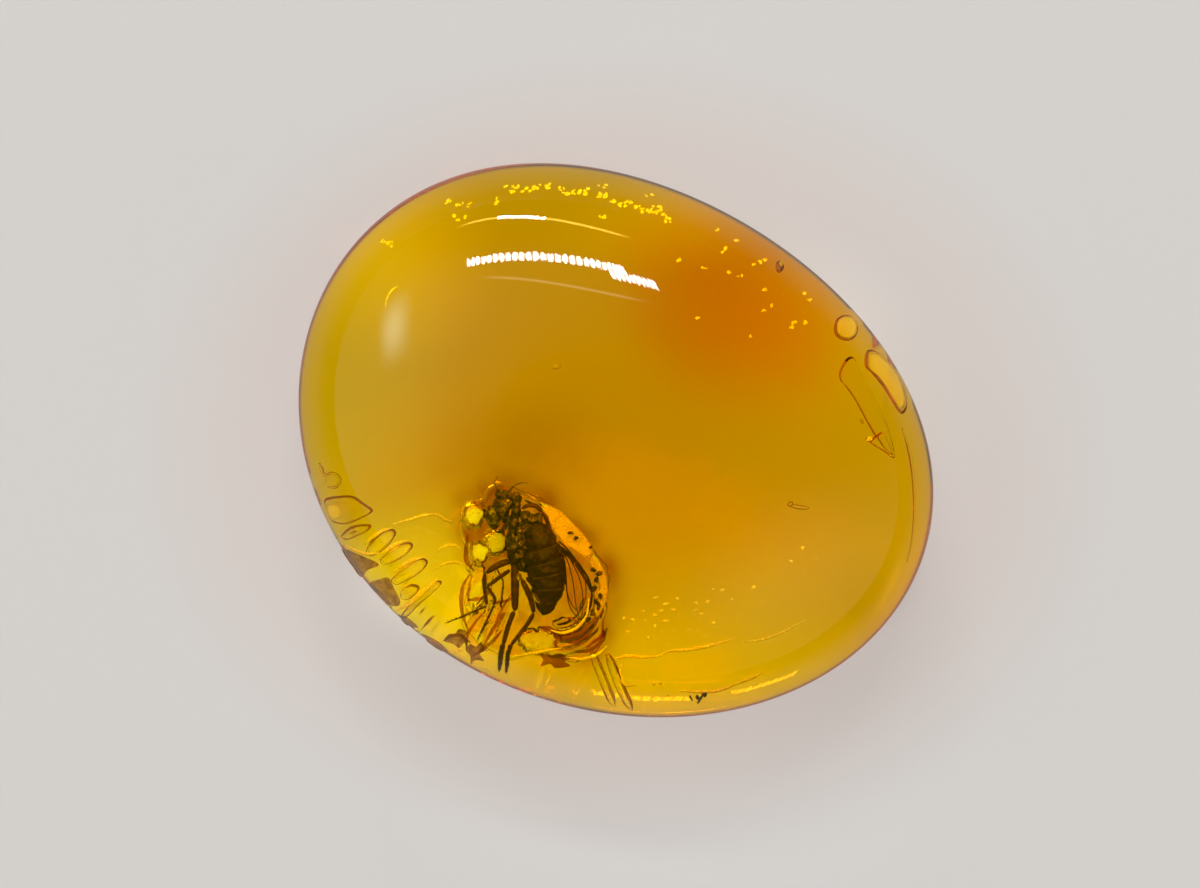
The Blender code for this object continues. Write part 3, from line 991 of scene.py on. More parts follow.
def membrane(left, right, lift, half, pleats, pleat_depth, steps=64, strips=40):
    """A closed thin sheet between two edges, each (across, down), laid over the fly's bed."""
    left, right = smooth_path(left, steps), smooth_path(right, steps)
    share = np.linspace(0.0, 1.0, strips)
    flat = left[:, None, :] * (1.0 - share[None, :, None]) + right[:, None, :] * share[None, :, None]
    rise = bed(flat[..., 1]) + lift + pleat_depth * np.cos(2.0 * np.pi * pleats * share)[None, :]
    upper = seen_at(np.concatenate([flat, (rise + half)[..., None]], axis=-1)).reshape(-1, 3)
    lower = seen_at(np.concatenate([flat, (rise - half)[..., None]], axis=-1)).reshape(-1, 3)
    below = steps * strips
    faces = []
    for r in range(steps - 1):
        for c in range(strips - 1):
            a, b = r * strips + c, r * strips + c + 1
            e, d = a + strips, b + strips
            faces.append((a, e, d, b))
            faces.append((a + below, b + below, d + below, e + below))
    edge = [(c, c + 1) for c in range(strips - 1)]
    edge += [(r * strips + strips - 1, (r + 1) * strips + strips - 1) for r in range(steps - 1)]
    edge += [((steps - 1) * strips + c + 1, (steps - 1) * strips + c) for c in range(strips - 1)]
    edge += [((r + 1) * strips, r * strips) for r in range(steps - 1)]
    faces += [(a, b, b + below, a + below) for a, b in edge]
    return np.concatenate([upper, lower]), faces


FORE_WING = (
    ((559, 547), (564, 560), (566, 576), (567, 592), (570, 607), (579, 620)),
    ((561, 547), (571, 555), (581, 567), (589, 580), (592, 595), (590, 608), (581, 620)),
)
HIND_WING = (
    ((556, 542), (560, 556), (563, 572), (565, 590), (570, 604), (578, 612)),
    ((559, 541), (568, 549), (577, 560), (584, 572), (587, 586), (586, 600), (580, 612)),
)
WING_HALF = 0.008  # half its thickness, in mm
wing_film = clear_film("wing_membrane", (1.0, 0.93, 0.84), (0.95, 0.78, 0.58), 0.30 * MM)
WINGS = (("fore_wing", FORE_WING, -0.02, 2.0), ("hind_wing", HIND_WING, -0.14, 1.0))
for wing_name, edges, lift, pleats in WINGS:
    sheet = membrane(*edges, lift, WING_HALF, pleats, 0.03)
    sealed_piece(wing_name, [sheet], wing_film)

# Each vein: how far it lies from the wing's inner edge to its outer one, and its half thickness.
VEINS = (
    (FORE_WING, -0.01, ((0.00, 0.016), (0.30, 0.012), (0.62, 0.012), (1.00, 0.024))),
    (HIND_WING, -0.13, ((0.08, 0.012), (0.95, 0.014))),
)
VEIN_STEPS = 30
vein_parts = []
for (left, right), lift, veins in VEINS:
    left, right = smooth_path(left, VEIN_STEPS), smooth_path(right, VEIN_STEPS)
    for share, half in veins:
        line = left * (1.0 - share) + right * share
        rise = bed(line[:, 1]) + lift
        thick = half * np.linspace(1.2, 0.6, VEIN_STEPS)
        vein_parts.append(loft(np.column_stack([line, rise, thick, thick]), around=10, steps=48))
wing_veins = sealed_piece("wing_veins", vein_parts, red_cuticle)

# ---------------------------------------------------------------------------------------------
# What the fly left in the resin round it.
# Brown shreds and crumbs that decay drew out of the body, a haze that stains the resin and also paints
# the shadow round the film's edge, and brown lines of painted shade in the film's folds.

# Each crumb: across, down, and two of its half sizes in mm.
CRUMBS = (
    (593, 570, 0.07, 0.05), (599, 573, 0.08, 0.05), (597, 580, 0.05, 0.06), (594, 589, 0.07, 0.05),
    (600, 596, 0.07, 0.05), (596, 601, 0.05, 0.05), (599, 606, 0.08, 0.05), (593, 613, 0.06, 0.06),
    (588, 620, 0.06, 0.05), (571, 533, 0.07, 0.03), (576, 538, 0.06, 0.04), (591, 547, 0.04, 0.03),
    (701, 698, 0.11, 0.03), (697, 697, 0.05, 0.04), (705, 695, 0.035, 0.04), (691, 698, 0.05, 0.015),
)
CRUMB_LIFT, CRUMB_DEPTH = 0.02, 0.05
crumb_parts = []
for i, (across, down, wide, tall) in enumerate(CRUMBS):
    spot = (across, down, float(bed(down)) + CRUMB_LIFT)
    crumb = ellipsoid(
        spot, wide, tall, CRUMB_DEPTH, 20.0 * i, lumps=0.8, lump_size=0.06 * MM, seed=60.0 + i,
        around=26, rows=18,
    )
    crumb_parts.append(crumb)
crumbs = sealed_piece("brown_crumbs", crumb_parts, dark_cuticle)

STAIN_SINK = 0.74  # how far the stained layer lies under the fly's bed, in mm
STAIN_REACH = 34.0  # how far it spreads past the film where nothing stops it
STAIN_HALF = 0.006
STAIN_OVERLAP = 4.0  # how far it always reaches past the film's edge
STAIN_TURNS = 180
STAIN_RINGS = 90
STAIN_FREE_STARTS, STAIN_FREE_ENDS = (-3.3, -2.6), (0.9, 1.5)  # the turns where it spreads freely
STAIN_FADE = 12.0  # how fast it fades outside the film
STAIN_PALEST = 0.35  # its share where it can't spread
STAIN_PATCHES = ((20.0, 3.0), (13.0, 6.0))  # size and seed of its patches outside and inside
# Between the head and the fore legs the layer is browner, and where the film drapes it is clearer.
GAP_ACROSS, GAP_DOWN, GAP_STAIN = (505, 515), (556, 570), 0.80
DRAPE_CLEARS = 0.06
POCKET_RIM = (0.78, 1.12)  # a pocket is clear inside this share of its size
GILT_PATCHES = (16.0, 9.0)
STAIN_SAG = (30.0, 14.0, 0.05)


def clear_pockets(share, pockets, across, down):
    """The same shares, but none in these pockets."""
    for x, y, wide, tall, _ in pockets:
        share = share * smooth_step(*POCKET_RIM, np.hypot((across - x) / wide, (down - y) / tall))
    return share


def stain_layer():
    """A thin layer of browner resin under the film, deepest just outside the film's edge, where the brown is
    partly stain and partly painted shadow.
    """
    turns = np.linspace(-np.pi, np.pi, STAIN_TURNS, endpoint=False)
    radius = film_radius(turns)
    free = smooth_step(*STAIN_FREE_STARTS, turns) * (1.0 - smooth_step(*STAIN_FREE_ENDS, turns))
    whole = radius + STAIN_OVERLAP + (STAIN_REACH - STAIN_OVERLAP) * free
    share, turn = np.meshgrid(np.linspace(0.0, 1.0, STAIN_RINGS + 1)[1:], turns, indexing="ij")
    across, down = round_film(share * whole, turn)
    past = np.append(share * whole - radius, -radius.min())
    free = np.append(np.broadcast_to(free, share.shape), 0.0)
    fade = np.append(1.0 - share**6, 1.0)
    outer, inner = (ripple(across, down, size, seed) for size, seed in STAIN_PATCHES)
    outside = np.exp(-np.clip(past, 0.0, None) ** 2 / (2.0 * STAIN_FADE**2)) * (0.62 + 0.4 * outer)
    gaps = (1.0 - smooth_step(*GAP_ACROSS, across)) * (1.0 - smooth_step(*GAP_DOWN, down))
    drape = (1.0 - smooth_step(*DRAPE_ACROSS[::-1], across)) * smooth_step(*DRAPE_DOWN, down)
    inside = np.clip(0.10 + 0.5 * inner - DRAPE_CLEARS * drape + GAP_STAIN * gaps, 0.0, 1.0)
    inside = clear_pockets(inside, FILM_POCKETS[:4], across, down)
    inside = inside * smooth_step(2.0, -4.0, past) + outside * 0.6 * smooth_step(-6.0, 0.0, past)
    outside = outside * (STAIN_PALEST + (1.0 - STAIN_PALEST) * free)
    stain = np.clip(np.where(past > 0.0, outside, inside) * fade, 0.0, 1.0)
    gilt = smooth_step(4.0, -3.0, past) * (0.75 + 0.5 * ripple(across, down, *GILT_PATCHES))
    gilt = clear_pockets(np.clip(gilt, 0.0, 1.0), FILM_POCKETS[:3], across, down)
    size, seed, height = STAIN_SAG
    rise = bed(down) - STAIN_SINK + height * ripple(across, down, size, seed)
    lid = np.append(np.where(share >= 1.0, 0.0, STAIN_HALF), STAIN_HALF)
    return two_sided(across, down, rise, lid, *share.shape), np.tile(stain, 2), np.tile(gilt, 2)


# The brown is the stain's own colour and also painted shadow round the film's edge; the gilt is a golden
# tint inside the film.
GILT_TINT = (1.0, 0.66, 0.40)
STAIN_AND_SHADOW_TINT = (0.50, 0.17, 0.06)
layer, stain, gilt = stain_layer()
stained_layer = mesh_object("brown_stain", *layer)
mark(stained_layer, stain=stain, gilt=gilt)
stained_resin, tree, shader = new_material("stained_resin")
stain_share = wire(tree, "ShaderNodeAttribute", out="Fac", attribute_name="stain")
gilt_share = wire(tree, "ShaderNodeAttribute", out="Fac", attribute_name="gilt")
gilded = blend_colours(tree, gilt_share, (1.0, 1.0, 1.0), GILT_TINT)
tree.links.new(blend_colours(tree, stain_share, gilded, STAIN_AND_SHADOW_TINT), shader.inputs["Base Color"])
shader.inputs["Transmission Weight"].default_value = 1.0
shader.inputs["IOR"].default_value = 1.01
shader.inputs["Roughness"].default_value = 0.05
stained_layer.data.materials.append(stained_resin)
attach(stained_layer, "root")

# Shards of browner, older resin in the rim and a red-brown fleck under the tail: height, half depth
# and the edge that shows.
BROWN_SHARDS = (
    (1.10, 0.02, ((342, 548), (355, 553), (376, 562), (378, 566), (368, 570), (361, 577), (352, 566),
                  (345, 556))),
    (1.10, 0.02, ((369, 584), (380, 579), (389, 578), (394, 588), (400, 600), (398, 606), (388, 604),
                  (377, 594))),
    (1.10, 0.02, ((399, 616), (406, 617), (412, 621), (418, 627), (414, 628), (405, 624))),
    (1.10, 0.02, ((421, 634), (430, 637), (440, 643), (448, 651), (443, 652), (430, 644))),
    (1.30, 0.02, ((444, 641), (449, 634), (455, 634), (459, 629), (468, 632), (465, 637), (471, 642),
                  (464, 643), (459, 648), (453, 644))),
    (1.30, 0.02, ((466, 650), (470, 644), (476, 647), (481, 642), (485, 650), (480, 654), (484, 661),
                  (476, 660), (471, 664), (470, 656))),
)
FLECK = (1.25, 0.05, ((537, 652), (549, 655), (561, 654), (573, 658), (565, 661), (570, 666),
                      (556, 668), (550, 664), (541, 666), (543, 659)))
shard_film = clear_film("old_resin", (0.52, 0.35, 0.17), (0.24, 0.12, 0.05), 0.16 * MM, spread=0.12)
fleck_film = clear_film("red_brown_resin", (0.60, 0.30, 0.14), (0.24, 0.07, 0.03), 0.30 * MM)
sealed_piece("rim_shards", [lens(*shard) for shard in BROWN_SHARDS], shard_film)
sealed_piece("red_brown_fleck", [lens(*FLECK)], fleck_film)

# Brown lines of painted shade in the film's folds where it hangs between the legs and round the tail,
# the widest a dark crescent of painted shadow by the tail: (across, down, half width) along each.
SHADED_FOLDS = (
    ((468, 533, 0.01), (466, 548, 0.045), (467, 562, 0.045), (474, 571, 0.01)),
    ((470, 574, 0.01), (463, 586, 0.035), (461, 600, 0.045), (463, 616, 0.035), (468, 630, 0.01)),
    ((511, 594, 0.01), (502, 609, 0.03), (495, 626, 0.04), (489, 636, 0.035), (480, 652, 0.01)),
    ((484, 612, 0.01), (474, 624, 0.03), (468, 634, 0.035), (466, 650, 0.01)),
    ((491, 604, 0.01), (500, 602, 0.035), (506, 601, 0.035), (513, 597, 0.02)),
    ((468, 600, 0.02), (477, 599, 0.04), (485, 597, 0.04), (489, 590, 0.02)),
    ((443, 641, 0.01), (455, 635, 0.04), (464, 637, 0.045), (467, 652, 0.01)),
    ((472, 657, 0.01), (483, 649, 0.04), (494, 640, 0.04), (502, 630, 0.01)),
    ((556, 630, 0.02), (566, 637, 0.10), (577, 637, 0.13), (588, 629, 0.11), (597, 617, 0.05),
     (599, 606, 0.02)),
    ((540, 627, 0.02), (550, 629, 0.05), (557, 634, 0.05), (562, 642, 0.03)),
    ((575, 652, 0.02), (590, 650, 0.04), (602, 640, 0.04), (607, 628, 0.02)),
)
fold_shade_finish = clear_film("fold_shade_film", (0.62, 0.34, 0.14), (0.36, 0.14, 0.05), 0.25 * MM)
FOLD_SINK, FOLD_DEPTH = 0.12, 0.02
fold_parts = []
for fold in SHADED_FOLDS:
    rows = [(across, down, float(bed(down)) - FOLD_SINK, half, FOLD_DEPTH) for across, down, half in fold]
    fold_parts.append(loft(rows, around=14, steps=48, lumps=0.01, seed=fold[0][0]))
sealed_piece("brown_fold_shade", fold_parts, fold_shade_finish)

# ---------------------------------------------------------------------------------------------
# Pale faces, painted light.
# Pale see-through faces under the film's pockets and rolled edge and under the flutes' walls, which the
# close lamp lights: painted light for the bright patches there. Both are sealed in.

# The outlines of those on the film's floor, and of those on its rolled edge.
FILM_LIGHT_FACES = (
    ((462, 508), (466, 502), (474, 500), (482, 503), (487, 511), (485, 520), (480, 527), (472, 527),
     (465, 521), (460, 515)),
    ((487, 533), (492, 529), (500, 530), (507, 534), (509, 542), (507, 551), (500, 556), (493, 556),
     (489, 548), (486, 540)),
    ((469, 545), (474, 541), (482, 541), (489, 546), (491, 554), (488, 562), (480, 563), (472, 560),
     (467, 553)),
    ((468, 575), (478, 570), (488, 575), (488, 590), (486, 603), (478, 611), (468, 612), (463, 598),
     (464, 585)),
    ((470, 618), (478, 614), (486, 613), (490, 620), (484, 640), (474, 648), (468, 640), (466, 628)),
    ((497, 606), (507, 600), (510, 612), (501, 632), (491, 648), (485, 650), (490, 630)),
    ((523, 632), (535, 628), (552, 632), (558, 640), (552, 648), (538, 652), (524, 650), (518, 642)),
)
ROLL_LIGHT_FACES = (
    ((592, 553), (600, 562), (606, 575), (608, 592), (605, 606), (598, 618), (594, 614), (598, 602),
     (600, 588), (598, 574), (590, 562)),
    ((540, 503), (550, 505), (562, 512), (574, 524), (586, 537), (594, 551), (588, 558), (575, 551),
     (562, 541), (552, 528), (545, 516)),
)
FILM_FACE_LIFT = -0.46  # how far those on the film's floor lie over the fly's bed
ROLL_FACE_LIFT = -0.10  # and those on its rolled edge
FACE_HALF = 0.006
FACE_RINGS, FACE_TURNS = 5, 48
LIGHT_FACE_GRAIN = 0.16 * MM
LIGHT_FACE_CLEARNESS = 0.72
painted_light_faces = []
for outlines, lift in ((FILM_LIGHT_FACES, FILM_FACE_LIFT), (ROLL_LIGHT_FACES, ROLL_FACE_LIFT)):
    for outline in outlines:
        height = float(bed(np.mean(outline, axis=0)[1])) + lift
        painted_light_faces.append(lens(height, FACE_HALF, outline, rings=FACE_RINGS, turns=FACE_TURNS))
# A pale, partly see-through finish, lit by the close lamp: painted light.
painted_light_finish = clear_film(
    "painted_light_film", (1.0, 0.93, 0.50), (0.90, 0.72, 0.36), LIGHT_FACE_GRAIN, clearness=LIGHT_FACE_CLEARNESS
)
film_painted_light = sealed_piece("painted_light_faces", painted_light_faces, painted_light_finish)

# Painted light in the flutes too: a pale face in the small window and one under each flute's wall.
WINDOW_LIGHT_FACE = ((327, 506), (334, 504), (341, 508), (341, 516), (334, 519), (328, 514))
WINDOW_LIGHT_FACE_HEIGHT = 0.97
WINDOW_LIGHT_FACE_TURNS = 40
FLUTE_LIGHT_FACE_GAP = 0.03  # how far it lies under a flute's wall
FLUTE_LIGHT_FACE_SIZE = 0.92  # its size as a share of the flute's
flute_painted_light_faces = [
    lens(WINDOW_LIGHT_FACE_HEIGHT, FACE_HALF, WINDOW_LIGHT_FACE, rings=FACE_RINGS, turns=WINDOW_LIGHT_FACE_TURNS)
]
for height, half, outline in LENSES[2:9]:
    under = height - half - FLUTE_LIGHT_FACE_GAP
    flute_painted_light_faces.append(lens(under, FACE_HALF, outline, FLUTE_LIGHT_FACE_SIZE, FACE_RINGS, FACE_TURNS))
painted_light_finish = clear_film(
    "flute_painted_light", (0.94, 1.0, 0.36), (0.86, 0.94, 0.28), LIGHT_FACE_GRAIN, clearness=LIGHT_FACE_CLEARNESS
)
flute_painted_light = sealed_piece("flute_painted_light_faces", flute_painted_light_faces, painted_light_finish)

# ---------------------------------------------------------------------------------------------
# Gold flakes and threads, and painted highlights.
# Small healed cracks in the resin, which scatter the lamp's light: flakes along the far rim, specks
# over the near rim, and fine threads where the resin flowed in layers. Some pale threads are painted
# highlights, along the flutes' lips and the film folds' edges, and beside the window's reflection.

# Flakes and specks: along the far rim, in the red cloud, over the near rim, and a few that sparkle.
RIM_FLAKES = (
    (452, 203), (459, 218), (494, 201), (528, 190), (536, 186), (548, 185), (558, 190), (572, 191),
    (578, 192), (588, 191), (600, 196), (601, 187), (606, 196), (611, 200), (625, 203), (630, 204),
    (640, 206), (646, 212), (652, 213), (656, 209), (662, 213), (670, 219), (647, 196), (605, 215),
    (463, 205), (510, 189), (518, 187), (387, 240), (391, 245),
)
CLOUD_FLAKES = (
    (718, 230), (737, 240), (722, 252), (726, 248), (704, 268), (728, 272), (740, 276), (760, 262),
    (766, 259), (755, 264), (764, 290), (763, 311), (771, 306), (792, 326), (794, 322), (806, 322),
    (804, 294), (810, 300), (697, 318), (750, 336), (678, 260),
)
NEAR_SPECKS = (
    (624, 618), (633, 620), (643, 611), (645, 620), (655, 615), (661, 611), (666, 621), (655, 626),
    (677, 599), (696, 603), (708, 602), (673, 610), (695, 611), (702, 614), (688, 630), (714, 623),
    (713, 589), (722, 590), (754, 587), (732, 600), (649, 638), (628, 632), (666, 604), (656, 598),
    (803, 548), (791, 561), (654, 684), (660, 683), (668, 695), (704, 701),
)
SPARKLES = ((461, 650), (463, 657), (476, 662), (484, 667), (489, 670), (454, 652), (557, 367), (868, 439))
# Each row of flakes: places, height, least and greatest half size in mm, how flat they are, and how
# many lie together at each place.
FLAKE_ROWS = (
    (RIM_FLAKES, 1.9, 0.025, 0.065, 0.35, 4), (CLOUD_FLAKES, 2.0, 0.02, 0.06, 0.30, 2),
    (NEAR_SPECKS, 1.4, 0.03, 0.06, 0.60, 1), (SPARKLES, 1.35, 0.04, 0.07, 0.4, 2),
)
# Those that lie together spread this far across and down.
FLAKE_SPREAD_ACROSS, FLAKE_SPREAD_DOWN = 2.0, 1.0
FLAKE_TURN, FLAKE_LEAN = 40.0, (5.0, 35.0)  # in degrees
# (across, down, height, half width, half depth) along each thread, sizes and height in mm.
THREADS_AND_HIGHLIGHTS = (
    # healed cracks along the near rim
    ((612, 659, 1.2, 0.01, 0.01), (630, 656, 1.2, 0.035, 0.02), (642, 657, 1.2, 0.03, 0.02),
     (658, 656, 1.2, 0.02, 0.015), (670, 651, 1.2, 0.02, 0.015), (684, 650, 1.2, 0.035, 0.02),
     (708, 646, 1.2, 0.035, 0.02), (733, 639, 1.2, 0.01, 0.01)),
    ((742, 642, 1.2, 0.008, 0.008), (760, 640, 1.2, 0.02, 0.012), (776, 635, 1.2, 0.02, 0.012),
     (806, 620, 1.2, 0.008, 0.008)),
    ((680, 691, 1.1, 0.01, 0.01), (700, 692, 1.1, 0.03, 0.02), (720, 690, 1.1, 0.035, 0.02),
     (736, 684, 1.1, 0.02, 0.02), (754, 677, 1.1, 0.03, 0.02), (762, 673, 1.1, 0.01, 0.01)),
    ((621, 664, 1.2, 0.01, 0.01), (621, 678, 1.2, 0.03, 0.02), (625, 685, 1.2, 0.03, 0.02),
     (636, 685, 1.2, 0.01, 0.01)),
    # fine cracks beside the flutes and the squiggle over them
    ((393, 524, 1.3, 0.01, 0.01), (408, 520, 1.3, 0.025, 0.02), (426, 515, 1.3, 0.03, 0.02),
     (438, 515, 1.3, 0.03, 0.02), (446, 520, 1.3, 0.04, 0.02), (453, 522, 1.3, 0.01, 0.01)),
    ((436, 553, 1.2, 0.01, 0.01), (443, 547, 1.2, 0.03, 0.02), (452, 545, 1.2, 0.035, 0.02),
     (461, 548, 1.2, 0.01, 0.01)),
    ((434, 570, 1.2, 0.01, 0.01), (444, 564, 1.2, 0.03, 0.02), (454, 562, 1.2, 0.035, 0.02),
     (463, 564, 1.2, 0.01, 0.01)),
    # painted highlights: pale threads along the bright lips of the flutes
    ((366, 544, 1.15, 0.01, 0.01), (373, 537, 1.15, 0.035, 0.02), (382, 531, 1.15, 0.035, 0.02),
     (392, 528, 1.15, 0.01, 0.01)),
    ((381, 555, 1.15, 0.01, 0.01), (388, 549, 1.15, 0.04, 0.02), (398, 543, 1.15, 0.04, 0.02),
     (409, 540, 1.15, 0.01, 0.01)),
    ((391, 575, 1.15, 0.01, 0.01), (400, 567, 1.15, 0.04, 0.02), (412, 560, 1.15, 0.045, 0.02),
     (425, 557, 1.15, 0.01, 0.01)),
    ((400, 594, 1.15, 0.01, 0.01), (404, 587, 1.15, 0.035, 0.02), (412, 583, 1.15, 0.01, 0.01)),
    ((396, 611, 1.15, 0.01, 0.01), (410, 603, 1.15, 0.05, 0.02), (424, 590, 1.15, 0.06, 0.02),
     (438, 579, 1.15, 0.02, 0.01)),
    ((340, 542, 1.1, 0.01, 0.01), (352, 549, 1.1, 0.035, 0.02), (366, 554, 1.1, 0.035, 0.02),
     (380, 553, 1.1, 0.01, 0.01)),
    # painted highlights: pale threads along the bright edges of the film's folds
    ((512, 657, 1.5, 0.01, 0.01), (529, 654, 1.5, 0.035, 0.02), (545, 651, 1.5, 0.035, 0.02),
     (561, 648, 1.5, 0.01, 0.01)),
    ((550, 630, 1.7, 0.01, 0.01), (562, 633, 1.7, 0.03, 0.02), (576, 628, 1.7, 0.03, 0.02),
     (586, 616, 1.75, 0.025, 0.02), (589, 598, 1.8, 0.01, 0.01)),
    ((566, 657, 1.5, 0.01, 0.01), (581, 659, 1.5, 0.03, 0.02), (598, 654, 1.5, 0.03, 0.02),
     (607, 646, 1.5, 0.01, 0.01)),
    # a painted reflection: a pale thread for a glint beside the window's reflection
    ((385, 308, 2.0, 0.005, 0.005), (387, 298, 2.0, 0.02, 0.015), (392, 290, 2.0, 0.025, 0.015),
     (398, 286, 2.0, 0.005, 0.005)),
)
gold_parts = []
chance = np.random.RandomState(11)
for places, height, least, greatest, flatness, together in FLAKE_ROWS:
    for across, down in np.repeat(places, together, axis=0):
        across = across + chance.uniform(-FLAKE_SPREAD_ACROSS, FLAKE_SPREAD_ACROSS) * (together - 1)
        down = down + chance.uniform(-FLAKE_SPREAD_DOWN, FLAKE_SPREAD_DOWN) * (together - 1)
        wide = chance.uniform(least, greatest)
        tall = chance.uniform(least, greatest)
        turn = chance.uniform(-FLAKE_TURN, FLAKE_TURN)
        lean = chance.uniform(*FLAKE_LEAN)
        gold_parts.append(
            ellipsoid(
                (across, down, height), wide, tall * 0.8, min(wide, tall) * flatness, turn, lumps=0.6,
                lump_size=0.06 * MM, seed=across * 0.37, around=14, rows=9, lean=lean,
            )
        )
for thread in THREADS_AND_HIGHLIGHTS:
    gold_parts.append(loft(thread, around=12, steps=60, lumps=0.008, lump_size=0.08 * MM, seed=thread[0][0]))
gold_and_highlight_finish = cuticle("gold_flecks_and_highlights", (0.72, 0.70, 0.30), (0.90, 0.96, 0.60), 0.16, 0.05 * MM, 0.3, 0.45)
gold_flecks_and_highlights = sealed_piece("gold_flecks_and_highlights", gold_parts, gold_and_highlight_finish)

# ---------------------------------------------------------------------------------------------
# Floor, light and camera.
# A sheet of pale paper, a soft room whose brighter sides are its windows, lamps beyond the far side
# and on a shelf under them, a dim window on the left and a small lamp close over the dome.

FLOOR_GAP = 0.05 * MM
FLOOR_SIZE = 4.0
SHEET_GLOW = 0.475
# How far from square on its glow starts to fade and stops fading, and its share at each.
SHEET_DIMS = (0.50, 0.85, 1.0, 0.25)
SHEET_COLOUR = (1.0, 0.98, 0.965)
# Painted light: the sheet's glow is warmer round the stone, for the amber-tinted light that passes it.
WARM_LIGHT_COLOUR = (1.0, 0.93, 0.86)
# The dome gathers the lamp's light into soft bright patches on the sheet under it, with a dimmer one
# between them. Each has its middle (right, up) and half sizes in mm, and how much it adds.
GATHERED_LIGHT = (
    ((-4.0, -3.0), (3.2, 2.3), 0.56), ((0.6, -4.4), (3.6, 1.6), 0.26), ((-4.6, 3.9), (2.4, 2.4), 0.40),
    ((-2.0, -0.1), (2.6, 1.7), -0.30), ((4.4, 2.6), (3.4, 3.0), 0.22), ((1.5, 4.4), (3.6, 1.2), 0.25),
    ((5.4, -3.3), (2.6, 1.6), -0.30), ((-2.0, -3.3), (1.7, 2.0), 0.26), ((2.0, -8.8), (9.5, 3.8), 0.07),
)
MIRRORED_SHARE = 0.35  # how much of its glow the polished dome mirrors
# Painted light: a pinker ring in the sheet's glow at the stone's edge, for light through the amber.
PINK_LIGHT_RING = (0.74, 0.95, 0.96, 1.38)  # where a pinker ring round the stone starts, is full, and fades
PINK_LIGHT_COLOUR = (1.0, 0.91, 0.87)
WARM_LIGHT_RING = ((0.3, -0.2), (9.6, 7.7), 0.62, 1.12)  # its middle, half sizes, and where it fades
PAPER_COLOUR = (0.26, 0.25, 0.24, 1.0)
PAPER_ROUGHNESS = 0.85


def build_floor():
    """The sheet, which glows softly, more where the dome gathers light, and with painted light warmer and
    pinker round the stone.
    """
    half = FLOOR_SIZE / 2
    points = np.array([[-half, -half, 0], [half, -half, 0], [half, half, 0], [-half, half, 0]])
    floor = mesh_object("pale_sheet", points - [0, 0, FLOOR_GAP], [(0, 1, 2, 3)])
    material, tree, shader = new_material("pale_paper")
    place = wire(tree, "ShaderNodeTexCoord", out="Object")

    def away_from(right, up, wide, tall):
        middle = tuple(in_picture(right * MM, up * MM, 0.0))
        size = (wide * MM, tall * MM, 1.0)
        turn = (0.0, 0.0, STONE_TILT)
        moved = wire(tree, "ShaderNodeMapping", place, middle, turn, size, vector_type="TEXTURE")
        return wire(tree, "ShaderNodeVectorMath", moved, out="Value", operation="LENGTH")

    total = 1.0
    for middle, size, gain in GATHERED_LIGHT:
        fall = faded(tree, away_from(*middle, *size), 0.0, 1.0, 1.0, 0.0)
        total = sums(tree, "MULTIPLY_ADD", fall, gain, total)
    total = sums(tree, "MULTIPLY", total, SHEET_GLOW)
    grazing = wire(tree, "ShaderNodeLayerWeight", 0.5, out="Facing")
    total = sums(tree, "MULTIPLY", total, faded(tree, grazing, *SHEET_DIMS))
    mirrored = wire(tree, "ShaderNodeLightPath", out="Is Reflection Ray")
    dimmer = wire(tree, "ShaderNodeMapRange", mirrored, 0.0, 1.0, 1.0, MIRRORED_SHARE)
    total = sums(tree, "MULTIPLY", total, dimmer)
    tree.links.new(total, shader.inputs["Emission Strength"])
    # Painted light: the glow turns warmer under and round the stone, and pinker in a ring at its edge.
    middle, size, inner, outer = WARM_LIGHT_RING
    away = away_from(*middle, *size)
    warm_light = faded(tree, away, inner, outer, 1.0, 0.0)
    colour = blend_colours(tree, warm_light, SHEET_COLOUR, WARM_LIGHT_COLOUR)
    start, full, fade, end = PINK_LIGHT_RING
    pink_light = sums(tree, "MULTIPLY", faded(tree, away, start, full), faded(tree, away, fade, end, 1.0, 0.0))
    tree.links.new(blend_colours(tree, pink_light, colour, PINK_LIGHT_COLOUR), shader.inputs["Emission Color"])
    shader.inputs["Base Color"].default_value = PAPER_COLOUR
    shader.inputs["Roughness"].default_value = PAPER_ROUGHNESS
    floor.data.materials.append(material)
    return floor


build_floor()

ROOM_BASE = 0.16
ROOM_COLOUR = (1.0, 0.985, 0.97, 1.0)
WALL_GLOW, WALL_SHARPNESS = 0.06, 5.0  # how much paler the room is at the level of the sheet
# Each glow of the room: its direction (right, up, height), how sharp it is, and how bright.
ROOM_GLOWS = (
    ((-0.75, 0.45, 0.95), 8.0, 0.36),
    ((0.10, 0.80, 0.90), 8.0, 0.20),
    ((0.65, -0.70, 0.95), 8.0, 0.24),
    ((-1.0, -0.10, 0.30), 4.0, 0.42),
    ((0.85, -0.55, 0.35), 4.0, 0.30),
)
DARK_OVERHEAD = (radians(6), radians(20))  # where the dark part overhead ends, and the open room starts
DARK_SHARE = 0.06


